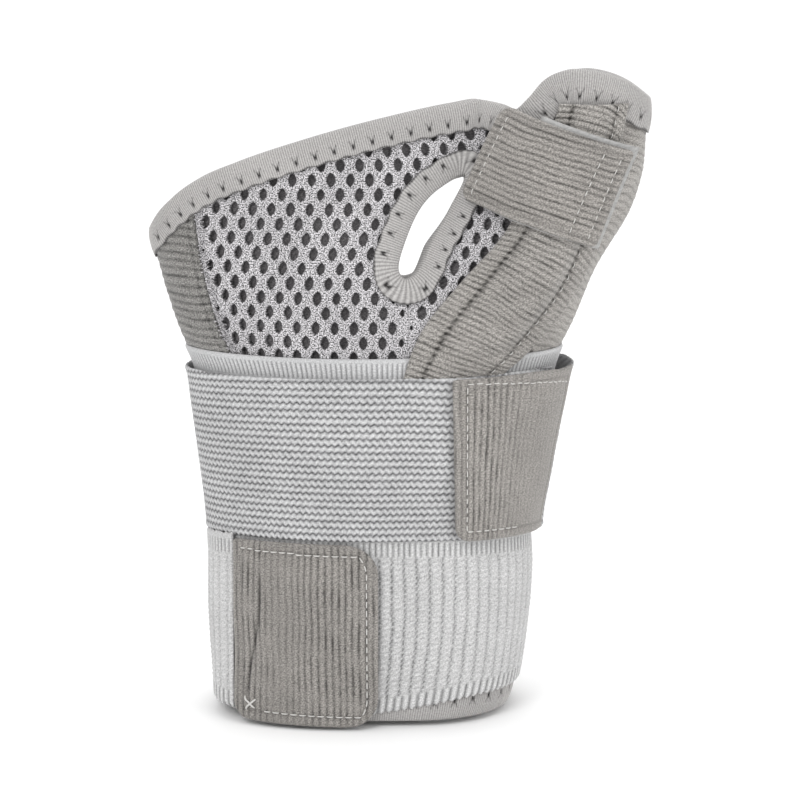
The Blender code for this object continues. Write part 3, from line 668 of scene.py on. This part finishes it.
def lens(outline):
    """A hole's edge towards each point of its cell: between an oval and a lens with pointed ends."""
    direction = unit(outline)
    across, along = np.abs(direction).T
    wide, tall = HOLE_SIZE
    bend = np.maximum(wide * (along / tall) ** 2, 1e-6)
    pointed = (np.sqrt(across**2 + 4 * wide * bend) - across) / (2 * bend)
    oval = 1 / np.hypot(across / wide, along / tall)
    return direction * blend(oval, pointed, 0.55)[:, None]


def length_table():
    """Lengths along the surface from the middle of the palm, over a grid of angles and heights."""
    heights, angles = np.linspace(*MESH_HEIGHTS, 61), np.linspace(-3.3, 9.6, 1500)
    length = arc_lengths(surface(angles[:, None], heights[None, :]))
    return heights, angles, length - [np.interp(PALM, angles, column) for column in length.T]


def angle_for(s, z, table):
    """The angle at a length along the surface, measured at each height from the middle of the palm."""
    heights, angles, length = table
    rung = np.clip((z - heights[0]) / (heights[1] - heights[0]), 0, len(heights) - 1.001)
    low = rung.astype(int)
    result = np.empty(s.shape)
    for k in np.unique(low):
        pick = low == k
        below, above = (np.interp(s[pick], length[:, row], angles) for row in (k, k + 1))
        result[pick] = blend(below, above, rung[pick] - k)
    return result


def mesh_panel(name, start, end, middle, table, seed):
    """Spacer mesh: a net of raised threads round oval holes that go through it."""
    heights, angles, length = table
    origin = np.interp(middle, angles, length[:, len(heights) // 3])
    columns = np.arange(-CELLS_EACH_WAY, CELLS_EACH_WAY)[:, None] * CELL_PITCH
    rows = np.arange(*(int(height / CELL_ROW) for height in MESH_HEIGHTS))[None, :]
    s = (columns + (rows % 2) * CELL_PITCH / 2).ravel() + origin
    z = (rows * CELL_ROW + 0 * columns).ravel()
    theta = angle_for(s, z, table)
    low, high = start(z), end(z)
    stretch = np.linalg.norm(slopes(theta, z)[0], axis=-1)
    margin = 0.8 * CELL_PITCH / stretch
    inside = (theta > low - margin) & (theta < high + margin)
    inside &= (z > MESH_FOOT - 1) & (z < rim(theta, z) - HEAD_MARGIN + CELL_ROW)
    s, z = s[inside], z[inside]
    from_seam = (np.minimum(theta - low, high - theta) * stretch)[inside]
    uneven = 1 + 0.05 * np.random.default_rng(seed).normal(size=len(s))
    size = (uneven * np.clip(from_seam / SMALL_HOLES, 0.2, 1))[:, None, None, None]
    outline = cell_outline()
    cell, hole, lifts, tones = np.array(MESH_RINGS).T[:, :, None]
    rings = cell[..., None] * outline + size * hole[..., None] * lens(outline)
    s, z = s[:, None, None] + rings[..., 0], z[:, None, None] + rings[..., 1]
    index = np.arange(s.size).reshape(s.shape)
    lift, shade = ((row + 0 * s).ravel() for row in (lifts, tones))
    s, z = s.ravel(), z.ravel()
    theta = np.clip(angle_for(s, z, table), start(z), end(z))
    z = np.minimum(z, rim(theta, z) - HEAD_MARGIN)
    points = place(theta, z, lift + 0.2 * waves(s, z, seed, 24) - 0.2)
    after = np.roll(index, -1, 2)
    faces = np.stack([index[:, :-1], after[:, :-1], after[:, 1:], index[:, 1:]], -1).reshape(-1, 4)
    return tidy(new_object(name, points, faces.tolist(), "mesh", shade, np.stack([s, z], -1)))


# ---------------------------------------------------------------- sleeve

def panel_top(margin):
    """The height of a panel's upper edge at each angle."""
    return lambda theta: rim_height(theta) - margin


def seam_angle(seam, back=False, shift=0.0):
    return lambda z: angle_at(seam(z) + shift, z, back=back)


def web_edge(one, other, low, high, back=False, turn=0.0):
    """A panel's edge at the web: round the hole between two heights, and at a closed seam beyond them."""
    def edge(z):
        opened = step_up(z, low - WEB_EASE, low + WEB_EASE) * step_up(-z, -high - WEB_EASE, WEB_EASE - high)
        return turn + angle_at(blend((one(z) + other(z)) / 2, one(z), opened), z, back=back)
    return edge


FRONT_SLIT, BACK_SLIT = (101, 133), (96, 131)
PALM_SIDE = web_edge(PALM_EDGE, THUMB_EDGE, *FRONT_SLIT)
THUMB_SIDE = web_edge(THUMB_EDGE, PALM_EDGE, *FRONT_SLIT)
BACK_HAND_SIDE = web_edge(BACK_PALM_EDGE, BACK_THUMB_EDGE, *BACK_SLIT, True)
BACK_THUMB_SIDE = web_edge(BACK_THUMB_EDGE, BACK_PALM_EDGE, *BACK_SLIT, True, TURN)


def mesh_panels():
    """Palm, back and thumb panels: open mesh above the straps, and plain cloth beneath them."""
    table = length_table()
    for name, node, start, end, middle, seed in (
            ("palm_mesh", "palm_mesh_panel", seam_angle(ULNAR_SEAM, shift=0.1), PALM_SIDE, PALM, 21),
            ("back_mesh", "back_hand_panel", BACK_HAND_SIDE, seam_angle(ULNAR_SEAM, True, 0.1), -PALM, 22),
            ("thumb_mesh", "thumb_mesh_panel", THUMB_SIDE, seam_angle(THUMB_SEAM), PALM, 23)):
        declare(mesh_panel(name, start, end, middle, table, seed), node, "sleeve",
                band(start, end, MESH_FOOT, panel_top(HEAD_MARGIN), 2, 2))
        grid = band(start, end, PANEL_FOOT, MESH_FOOT + 1.0, 1.2, 1.2)
        height, shade = rib_weave(grid[3], grid[2], 2.6, seed + 10, 0.06)
        sheet(name + "_foot", None, "sleeve", "loop", grid, (-1.4, -0.2),
              (height, 0.6 + 0.3 * shade), 3)


def edge_panels():
    """Loop cloth down the little finger's side, and round the back of the thumb."""
    top = panel_top(HEAD_MARGIN)
    grid = band(seam_angle(ULNAR_SEAM, True, -0.2), seam_angle(ULNAR_SEAM, shift=-0.2), PANEL_FOOT, top,
                0.42, 0.28)
    z, s = grid[1:3]
    height, shade = rib_weave(z, s, 1.95, 31, 0.30)
    seam = np.minimum(s, s[-1:] - s)
    height = height * step_up(seam, 0.3, 2.0) - 0.15 * bell(seam - 1.9, 0.5)
    sheet("ulnar_edge", "ulnar_edge_panel", "sleeve", "edge", grid, (-1.4, 0.12),
          (height, shade - 0.25 * bell(seam - 1.9, 0.45)))
    for name, back, seed in (("palm_overlock", False, 35), ("back_overlock", True, 36)):
        z = np.arange(MESH_FOOT + 1.5, float(top(angle_at(ULNAR_SEAM(112.0), 112.0, back=back))), 0.52)
        reach = 1.05 + 0.95 * (-1.0) ** np.arange(len(z)) + 0.3 * grain(z.shape, seed)
        dashes(name, [(angle_at(ULNAR_SEAM(z) + reach, z, back=back), z)], 0.22, "sleeve",
               1.5, 0.25, 0.13, "mesh")

    grid = band(seam_angle(THUMB_SEAM, shift=0.1), BACK_THUMB_SIDE, PANEL_FOOT, top, 0.55, 0.3)
    z, s, t = grid[1:]
    height, shade = rib_weave(z + 0.25 * s, s, 1.7, 33, 0.15)
    sheet("thumb_back", "thumb_back_panel", "sleeve", "loop", grid, (-1.4, 0.05),
          (height + 0.25 * waves(s, t, 34, 26), 0.76 + 0.65 * (shade - 0.74)))


def linings():
    for name, node, start, end in (("hand_inside", "hand_lining", BACK_HAND_SIDE, PALM_SIDE),
                                   ("thumb_inside", "thumb_lining", THUMB_SIDE, BACK_THUMB_SIDE)):
        grid = band(start, end, 1.0, panel_top(4.0), 0.8, 0.7)
        knots = np.cos(TURN * grid[2] / 1.6) * np.cos(TURN * grid[3] / 1.6)
        sheet(name, node, "sleeve", "lining", grid, (-2.3, -1.85),
              (0.08 * knots, 0.5 + 0.4 * knots), 1)


# ---------------------------------------------------------------- bindings

RIB_PITCH = 0.55
MARK_PITCH, MARK_AT, MARK_ARMS = 4.6, 0.68, 0.22
INNER_LEG, LINER = -3.9, 0.3
# How many points to each side a closed tape's fold is smoothed over
EASED = 15
OUTER_STEPS, BEND_STEPS, INNER_STEPS = 15, 6, 7
BINDING_WIDTH, THUMB_WIDTH, WEB_WIDTH = 6.2, 8.0, 5.6
TAPE_STEP = 0.15
CROTCH_HALF_GAP = 0.4


def tape(name, node, theta, z, width, closed, flip, upright=False):
    """Ribbed stretch tape folded over an edge and sewn down through both legs.

    flip is the side of the edge that the legs lie on, and upright is for legs that rise straight up."""
    points = surface(theta, z)
    along = np.roll(points, -1, 0) - np.roll(points, 1, 0) if closed else np.gradient(points, axis=0)
    inward = unit(np.cross(normal(theta, z), along)) * flip
    if closed:
        inward = unit(sum(np.roll(inward, k, 0) for k in range(-EASED, EASED + 1)))
    turned = step_up(np.abs(np.sin(theta)), 0.08, 0.35)
    if upright:
        turned, inward = 0 * turned, np.array([0, 0, 1.0]) + 0 * inward
    legs = [(theta, z)]
    for _ in range(OUTER_STEPS):
        next_theta, next_z = walk(*legs[-1], inward, width / OUTER_STEPS)
        straight_z = legs[-1][1] + np.sign(inward[:, 2]) * width / OUTER_STEPS
        legs.append((blend(legs[-1][0], next_theta, turned), blend(straight_z, next_z, turned)))
    length = arc_lengths(points)
    ribs = np.cos(TURN * length / RIB_PITCH)
    beat = length * max(round(length[-1] / MARK_PITCH), 1) / length[-1]
    sway = (beat - np.round(beat)) * MARK_PITCH
    section, tones = [], []
    for k in range(OUTER_STEPS, -1, -1):
        w = k / OUTER_STEPS
        to_mark = (MARK_AT - w) * width
        hole = bell(sway, 0.36) * bell(to_mark, 0.5)
        arms = bell(np.abs(sway) - to_mark * 0.55, 0.2) * (MARK_AT - MARK_ARMS < w < MARK_AT)
        puff = 0.45 + 0.72 * math.sin(math.pi * min(0.98, 0.12 + 0.86 * (1 - w))) ** 0.7
        rib = np.cos(TURN * length / RIB_PITCH + 0.6 * np.sin(beat * 2.1 + w * 3))
        lift = np.maximum(puff + 0.08 * rib - 0.42 * hole - 0.14 * arms, 0.2)
        scallop = 0.035 * np.cos(TURN * beat) * width * w
        section.append(place(*legs[k], lift) + inward * scallop[:, None])
        tones.append(np.clip(0.68 + 0.24 * rib - 0.9 * hole - 0.35 * arms - 0.5 * (w > 0.96), 0, 1))
    outside, inside = section[-1], place(theta, z, INNER_LEG)
    centre, out = (outside + inside) / 2, (outside - inside) / 2
    for k in range(1, BEND_STEPS):
        angle = math.pi * k / BEND_STEPS
        bulge = 0.6 * math.sin(angle) * (1 + 0.05 * ribs)
        section.append(centre + out * math.cos(angle) - inward * bulge[:, None])
        # Painted shade deepens round the fold towards the inner leg.
        tones.append(0.68 - 0.3 * (k / BEND_STEPS) ** 2 + 0.24 * ribs)
    for k in range(INNER_STEPS + 1):
        sink = 0.25 * math.sin(math.pi * k / INNER_STEPS)
        section.append(place(*legs[round(k * OUTER_STEPS / INNER_STEPS)], INNER_LEG - sink + 0.06 * ribs))
        # The inner leg is painted darker as shade, since it lies inside the opening.
        tones.append(0.36 + 0.16 * ribs)
    under = INNER_LEG + 0.4
    for leg, depth in ((OUTER_STEPS, under), (1, under), (1, LINER), (OUTER_STEPS, LINER)):
        section.append(place(*legs[leg], depth))
        tones.append(0.3 + 0 * length)
    rings = np.stack(section, 1)
    corners = rings.shape[1]
    index = np.arange(len(rings) * corners).reshape(-1, corners)
    flat = np.stack(np.broadcast_arrays(length[:, None], np.arange(corners)[None, :] * 0.5), -1)
    made = tidy(new_object(name, rings.reshape(-1, 3), tube_faces(index, closed), "tape",
                           np.stack(tones, 1), flat.reshape(-1, 2)))
    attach(made, "sleeve")
    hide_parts(node)


def evenly(theta, z, pitch, closed):
    """Angles and heights along an edge, spaced evenly."""
    if closed:
        theta, z = np.append(theta, theta[0]), np.append(z, z[0])
    length = arc_lengths(surface(theta, z))
    at = np.linspace(0, length[-1], int(length[-1] / pitch), endpoint=not closed)
    return np.interp(at, length, theta), np.interp(at, length, z)


def bindings():
    """Tapes round the finger and thumb openings, both faces of the slit and the wrist, and two bar tacks."""
    front, back = RIM_FRONT(CROTCH), RIM_BACK(CROTCH)
    palm_end, thumb_end = CROTCH - CROTCH_HALF_GAP, CROTCH + CROTCH_HALF_GAP
    fingers = np.linspace(angle_at(palm_end, back, back=True), angle_at(palm_end, front), 900)
    thumb = np.linspace(angle_at(thumb_end, front), TURN + angle_at(thumb_end, back, back=True), 600)
    for name, node, theta, width in (("finger_binding", "finger_opening_binding", fingers, BINDING_WIDTH),
                                     ("thumb_binding", "thumb_opening_binding", thumb, THUMB_WIDTH)):
        theta = evenly(theta, rim_height(theta), TAPE_STEP, False)[0]
        tape(name, node, theta, rim_height(theta), width, False, -1)
    for name, node, outline, flip in (("web_binding_front", "web_binding_palm", HOLE_FRONT, -1),
                                      ("web_binding_rear", "web_binding_back", HOLE_BACK, 1)):
        x, z = closed_spline(outline, 500)
        tape(name, node, *evenly(angle_at(x, z, back=flip > 0), z, TAPE_STEP, True), WEB_WIDTH, True, flip)
    across = np.linspace(CROTCH - 2.7, CROTCH + 2.7, 24)
    for name, rim_curve, back in (("web_bartack_palm", RIM_FRONT, False),
                                  ("web_bartack_back", RIM_BACK, True)):
        drops = [rim_curve(CROTCH) - drop + 0 * across for drop in np.arange(1.0, 6.0, 0.42)]
        dashes(name, [(angle_at(across, z, back=back), z) for z in drops], 1.15, "sleeve",
               4.8, 1.0, 0.16)
    theta, z = evenly(np.linspace(0, TURN, 700, endpoint=False), np.full(700, 1.6), 0.17, True)
    tape("wrist_binding", "wrist_opening_binding", theta, z, BINDING_WIDTH, True, 1, True)


# ---------------------------------------------------------------- pocket and straps

def stay_pocket():
    """The stay's pocket, ribbed across its length and sewn down along both edges."""
    low, high = (corner[2] for corner in span("stay_pocket"))
    share, z = np.meshgrid(np.linspace(0, 1, 70), np.linspace(low, high, 300), indexing="ij")
    theta = angle_at(blend(POCKET_LEFT(z), POCKET_RIGHT(z), share), z)
    s, t = grid_lengths(theta, z)
    over_stay = step_up(share, 0.16, 0.32) * step_up(1 - share, 0.16, 0.32)
    above_strap, over_binding = step_up(z, 86.0, 92.0), step_up(z, 136.0, 141.0)
    flange = 1.35 - 0.95 * above_strap + 1.0 * over_binding
    inner = np.maximum(flange, 0.4 + 2.0 * over_stay * above_strap)
    height, shade = rib_weave(t + 0.3 * s, s, 1.4, 61, 0.26)
    left_seam, right_seam = (bell(share - at, 0.022) for at in (0.20, 0.83))
    left_seam = left_seam * (0.6 + 0.4 * np.cos(TURN * t / 1.9))
    weave = height - 0.45 * left_seam - 0.3 * right_seam, 0.94 * shade - 0.75 * left_seam - 0.3 * right_seam
    sheet("pocket_cloth", "stay_pocket", "sleeve", "loop", (theta, z, s, t),
          (inner, inner + 0.75), weave)
    stitched = 58, slice(2, -2)
    dashes("pocket_seam", [(theta[stitched], z[stitched])], inner[stitched] + 0.85, "sleeve",
           1.3, 1.9, 0.11)


# Distances of each layer's inner and outer face from the base surface
UPPER_LAYERS = {"elastic": (2.4, 2.95), "tab": (4.4, 4.95), "hook": (3.8, 4.0)}
LOWER_LAYERS = {"elastic": (1.35, 1.9), "tab": (3.35, 3.9), "hook": (2.75, 2.95)}
STRAP_RISE, RISE_ANGLE = 2.0, 0.9
HEM = 2.5
UPPER_HINGE = math.pi - 0.12
UPPER_LOW, UPPER_HIGH, TAB_LIFT = 43.6, 83.5, 2.2
LOWER_START, LOWER_SEAM_X = 0.5, -28.7
LOWER_LOW, LOWER_HIGH = 3.4, 39.5
LOWER_TAB_LOW, LOWER_TAB_HIGH, LOWER_TAB_END = 0.8, 42.9, 3.0
BARTACK, BARTACK_ARM = (4.9, 3.9), 1.8


def lifted(height, lift):
    return lambda theta: height + lift * np.maximum(np.sin(theta), 0)


def at_x(x, shift=0.0):
    return lambda z: angle_at(x, z) + shift


def sewn(patch, *spots):
    """The line on a patch that joins spots given by their lengths along it and up it."""
    theta, z, s, t = patch
    columns = np.arange(len(s))
    level = np.arange(s.shape[1])
    middle = s.shape[1] // 2
    line = []
    for (s0, t0), (s1, t1) in zip(spots[:-1], spots[1:]):
        share = np.linspace(0, 1, max(int(max(abs(s1 - s0), abs(t1 - t0)) / 0.3), 4))
        i = np.interp(s0 + (s1 - s0) * share, s[:, middle], columns).round().astype(int)
        j = np.array([np.interp(value, t[k], level) for k, value in zip(i, t0 + (t1 - t0) * share)])
        line += list(zip(i, j.round().astype(int)))
    i, j = np.array(line).T
    fresh = np.append(True, (np.diff(i) != 0) | (np.diff(j) != 0))
    return theta[i[fresh], j[fresh]], z[i[fresh], j[fresh]]


def loop_tab(name, node, body, patch, layer, seed, pitch, velvet, tone=1.0, crease=0.0):
    """A strap's loose end: ribbed loop cloth, hemmed all round, its ribs pressed down where velvet is low,
    with painted shade along any crease.
    """
    s, t = patch[2:]
    height, shade = rib_weave(s, t, pitch, seed, 0.24, 0.10)
    shade = 0.74 + (shade - 0.74) * velvet + 0.07 * grain(s.shape, seed + 7)
    height, shade = hemmed(height * velvet, shade, edge_distance(s, t))
    height = height + 0.18 * waves(s, t, seed + 5, 32) - 0.35 * crease
    # Painted shade darkens the cloth along the crease.
    shade = tone * np.clip(shade - 0.5 * crease, 0, 1)
    sheet(name, node, body, "tab", patch, layer, (height, shade), 2)


def hook_patch(name, node, body, grid, layer):
    sheet(name, node, body, "hook", grid, layer, hook_weave(*grid[2:]), 3, -1)


def upper_strap():
    """The strap's inner turn with its ladder edge, its outer turn, and its loose end with hooks."""
    low, high = span("upper_strap_underlap")
    ring = band(0.02, TURN - 0.02, low[2], high[2], 0.27, 0.4)
    sheet("underlap", "upper_strap_underlap", "sleeve", "knit", ring, (0.35, 0.8),
          laced(*ring[2:], 1.08, (5.0, 4.6), 0.24)[1:])

    seam = UPPER_HINGE - TURN + 0.04
    foot = lifted(UPPER_LOW, TAB_LIFT)
    top = lambda theta: UPPER_HIGH + 1.6 * step_up(np.abs(theta), 1.7, 3.1)
    strap = scalloped(*band(seam, 2.75, foot, top, 0.31, 0.23), 1.5, 0.32)
    theta, _, s, t = strap
    lift = STRAP_RISE - STRAP_RISE * step_up(theta, seam, seam + RISE_ANGLE)
    edge = np.minimum(t, t[:, -1:] - t)
    height, shade = knit_weave(s, t)
    height = height + 0.12 * waves(s, t, 71, 45) + 0.10 * bell(edge, 1.0)
    inner, outer = UPPER_LAYERS["elastic"]
    sheet("upper_elastic", "upper_strap_elastic", "sleeve", "knit", strap,
          (inner + lift, outer + lift), (height, shade))

    left = span("upper_strap_tab")[0][0] + 0.6
    patch = rounded(*band(at_x(left), UPPER_HINGE - 0.01, foot, top, 0.29, 0.29), (3.5, 0.8, 0, 0))
    s, t = patch[2:]
    loop_tab("upper_tab_cloth", "upper_strap_tab", "upper_tab", patch, UPPER_LAYERS["tab"], 72, 1.35,
             0.22 + 0.85 * bell(s - 6, 8))
    long, tall = s.max() - 1, t[len(t) // 2].max() - HEM
    corner = (HEM, HEM)
    lines = [sewn(patch, (HEM, tall), (long, tall)), sewn(patch, corner, (HEM, tall)),
             sewn(patch, corner, (0.6 * long, HEM))]
    dashes("upper_tab_stitch", lines, UPPER_LAYERS["tab"][1] + 0.1, "upper_tab", 1.7, 0.5, 0.14)
    hook_patch("upper_hooks", "upper_strap_hook_patch", "upper_tab",
               band(at_x(left + 1.2), UPPER_HINGE - 0.25, lifted(47.6, 2.0), 79.5, 0.35, 0.3),
               UPPER_LAYERS["hook"])


def lower_strap():
    """The pile elastic with a ladder along its top and loops along its foot, and its loose end with hooks."""
    seam = at_x(LOWER_SEAM_X, TURN - 0.006)
    foot_edge = lambda theta: LOWER_LOW + 4.0 * step_up(theta, 1.4, 2.5) * step_up(-theta, -5.4, -4.0)
    top_edge = lambda theta: lifted(LOWER_HIGH, 3.4)(theta) + 3.5 * step_up(np.sin(theta), -0.5, 0.1)
    strap = scalloped(*band(LOWER_START, seam, foot_edge, top_edge, 0.34, 0.26), 1.9, 0.6)
    theta, _, s, t = strap
    height, shade = pile_weave(s, t)
    top, bars, tone = laced(s, t, 1.3, (5.2, 4.2))
    height, shade = blend(height, bars, top), blend(shade, tone, top)
    foot = step_up(t, 3.8, 3.0)
    loops, tone = ladder(s, 1.9)
    height, shade = blend(height, 1.2 * loops, foot), blend(shade, tone, foot)
    last = float(seam(20.0))
    lift = STRAP_RISE * step_up(theta, last - RISE_ANGLE, last)
    inner, outer = LOWER_LAYERS["elastic"]
    sheet("lower_elastic", "lower_strap_elastic", "sleeve", "pile", strap,
          (inner + lift, outer + lift), (height + 0.15 * waves(s, t, 81, 40), shade))

    patch = band(at_x(LOWER_SEAM_X, 0.004), at_x(LOWER_TAB_END), LOWER_TAB_LOW,
                 lifted(LOWER_TAB_HIGH, TAB_LIFT), 0.28, 0.29)
    patch = rounded(*patch, (4.5, 1.0, 7.0, 7.5))
    s, t = patch[2:]
    # A crease folded into the lower tab, sunk and darkened with painted shade.
    fold = 7.4 - 3.6 * step_up(30 - t, 0, 26)
    crease = bell(s - fold, 0.4) * step_up(t, 3, 8) * step_up(38 - t, 0, 5)
    loop_tab("lower_tab_cloth", "lower_strap_tab", "lower_tab", patch, LOWER_LAYERS["tab"], 82, 1.5,
             1.1 - 0.65 * bell(s - 12, 5), 0.88, crease)
    long, tall, face = s.max() - HEM, t[len(t) // 2].max() - HEM, LOWER_LAYERS["tab"][1]
    dashes("lower_tab_stitch", [sewn(patch, (HEM, tall), (long, tall), (long, HEM), (7.5, HEM))],
           face + 0.12, "lower_tab", 1.7, 0.5, 0.15)
    (across, up), arm = BARTACK, BARTACK_ARM
    cross = [sewn(patch, (across - arm, up - way * arm), (across + arm, up + way * arm)) for way in (-1, 1)]
    dashes("lower_tab_bartack", cross, face + 0.2, "lower_tab", 4.6, 1.0, 0.24)
    hook_patch("lower_hooks", "lower_strap_hook_patch", "lower_tab",
               band(0.95, at_x(2.0), 7.4, lifted(36.0, 2.0), 0.35, 0.3), LOWER_LAYERS["hook"])


# The thumb strap's corners: x and height of its hinge's end, then of its loose end
THUMB_LOW_EDGE = np.array([(22.8, 124.5), (51.0, 115.2)])
THUMB_HIGH_EDGE = np.array([(33.9, 146.2), (59.6, 136.3)])
THUMB_INNER, THUMB_RISE, THUMB_RISE_END = 2.5, 1.8, 0.42
THUMB_CLOTH, THUMB_HOOKS = 0.8, 0.3


def thumb_patch(along, across, columns, rows):
    """A grid between shares of the thumb strap's length and width, and how far along it each point is."""
    u, v = np.linspace(*along, columns)[:, None, None], np.linspace(*across, rows)[None, :, None]
    x, z = np.moveaxis(blend(blend(*THUMB_LOW_EDGE, u), blend(*THUMB_HIGH_EDGE, u), v), -1, 0)
    theta = angle_at(x, z)
    s, t = grid_lengths(theta, z)
    s = np.repeat(s[:, rows // 2:rows // 2 + 1], rows, 1)
    return (theta, z, s, t), u[..., 0] + 0 * theta


def thumb_strap():
    """The short strap across the thumb, with three rows of stitches and its hooks."""
    grid = rounded(*thumb_patch((0, 1), (0, 1), 105, 85)[0], (3.2, 3.2, 1.6, 1.6))
    theta, z, s, t = grid
    inner = THUMB_INNER + THUMB_RISE * step_up(s / s.max(), 0.0, THUMB_RISE_END)
    height, shade = hemmed(*rib_weave(t, s, 1.45, 91, 0.24, 0.10), edge_distance(s, t), 2.0)
    line = bell(s - 0.80 * s.max(), 0.35)
    height = height - 0.25 * line + 0.15 * waves(s, t, 92, 18)
    sheet("thumb_strap_cloth", "thumb_strap", "thumb_flap", "tab", grid,
          (inner, inner + THUMB_CLOTH), (height, shade - 0.1 * line))
    for name, share in (("thumb_stitch_hinge", 0.09), ("thumb_stitch_inner", 0.80),
                        ("thumb_stitch_end", 0.93)):
        row = int(share * (len(theta) - 1)), slice(6, -6)
        dashes(name, [(theta[row], z[row])], inner[row] + THUMB_CLOTH + 0.05, "thumb_flap",
               1.5, 0.8, 0.12)
    hooks, along = thumb_patch((0.30, 1.035), (-0.01, 1.045), 74, 75)
    inner = THUMB_INNER + THUMB_RISE * step_up(along, 0.0, THUMB_RISE_END) - 0.55
    hook_patch("thumb_hooks", "thumb_strap_hook_patch", "thumb_flap", hooks, (inner, inner + THUMB_HOOKS))


def bare_stay():
    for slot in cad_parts["thumb_stay"].material_slots:
        slot.material = LOOKS["metal"]


# ---------------------------------------------------------------- stage: metres

WORLD, KEY, FILL, TOP = 0.9, 6.5, 3.0, 5.0
CAMERA_DISTANCE, CAMERA_RISE, CAMERA_LENS = 0.8, math.radians(10.5), 150.0
FLOOR_DROP, FLOOR_END, SWEEP = 0.0002, 1.2, 0.6


def floor():
    """A pale floor that turns up into a backdrop well behind the object."""
    mesh = bpy.data.meshes.new("floor")
    profile = [(-3.0, 0.0), (FLOOR_END, 0.0)]
    profile += [(FLOOR_END + SWEEP * math.sin(a), SWEEP - SWEEP * math.cos(a))
                for a in np.linspace(0.1, math.pi / 2, 12)]
    profile += [(FLOOR_END + SWEEP, 4.0)]
    points = [(x, y, z - FLOOR_DROP) for x in (-4.0, 4.0) for y, z in profile]
    count = len(profile)
    mesh.from_pydata(points, [], [(i, i + count, i + count + 1, i + 1) for i in range(count - 1)])
    mesh.shade_smooth()
    look, node = new_look("pale_floor")
    node("Shader", {"Base Color": (0.97, 0.97, 0.97, 1), "Roughness": 0.9})
    mesh.materials.append(look)
    add_object("floor", mesh)


def soft_light(name, spot, size, power):
    data = bpy.data.lights.new(name, "AREA")
    data.shape, data.size, data.energy = "DISK", size, power
    made = add_object(name, data)
    made.location = spot
    made.rotation_euler = (Vector((0, 0, 0.08)) - Vector(spot)).to_track_quat("-Z", "Y").to_euler()


def studio():
    world = bpy.data.worlds.new("studio")
    bpy.context.scene.world = world
    world.use_nodes = True
    background = world.node_tree.nodes["Background"].inputs
    background["Color"].default_value = (1, 1, 1, 1)
    background["Strength"].default_value = WORLD
    soft_light("key", (-0.5, -1.1, 1.0), 0.7, KEY)
    soft_light("fill", (0.9, -0.8, 0.5), 0.9, FILL)
    soft_light("top", (0.1, 0.3, 1.4), 0.9, TOP)
    bpy.context.scene.view_settings.view_transform = "Standard"


def camera():
    data = bpy.data.cameras.new("camera")
    data.lens, data.sensor_width = CAMERA_LENS, 36.0
    made = add_object("camera", data)
    aim = Vector((0.0005, 0.0002, 0.074))
    made.location = aim + CAMERA_DISTANCE * Vector((0, -math.cos(CAMERA_RISE), math.sin(CAMERA_RISE)))
    made.rotation_euler = (math.pi / 2 - CAMERA_RISE, 0, 0)
    bpy.context.scene.camera = made


camera()
studio()
floor()
check_surface()
mesh_panels()
edge_panels()
linings()
bindings()
stay_pocket()
upper_strap()
lower_strap()
thumb_strap()
bare_stay()
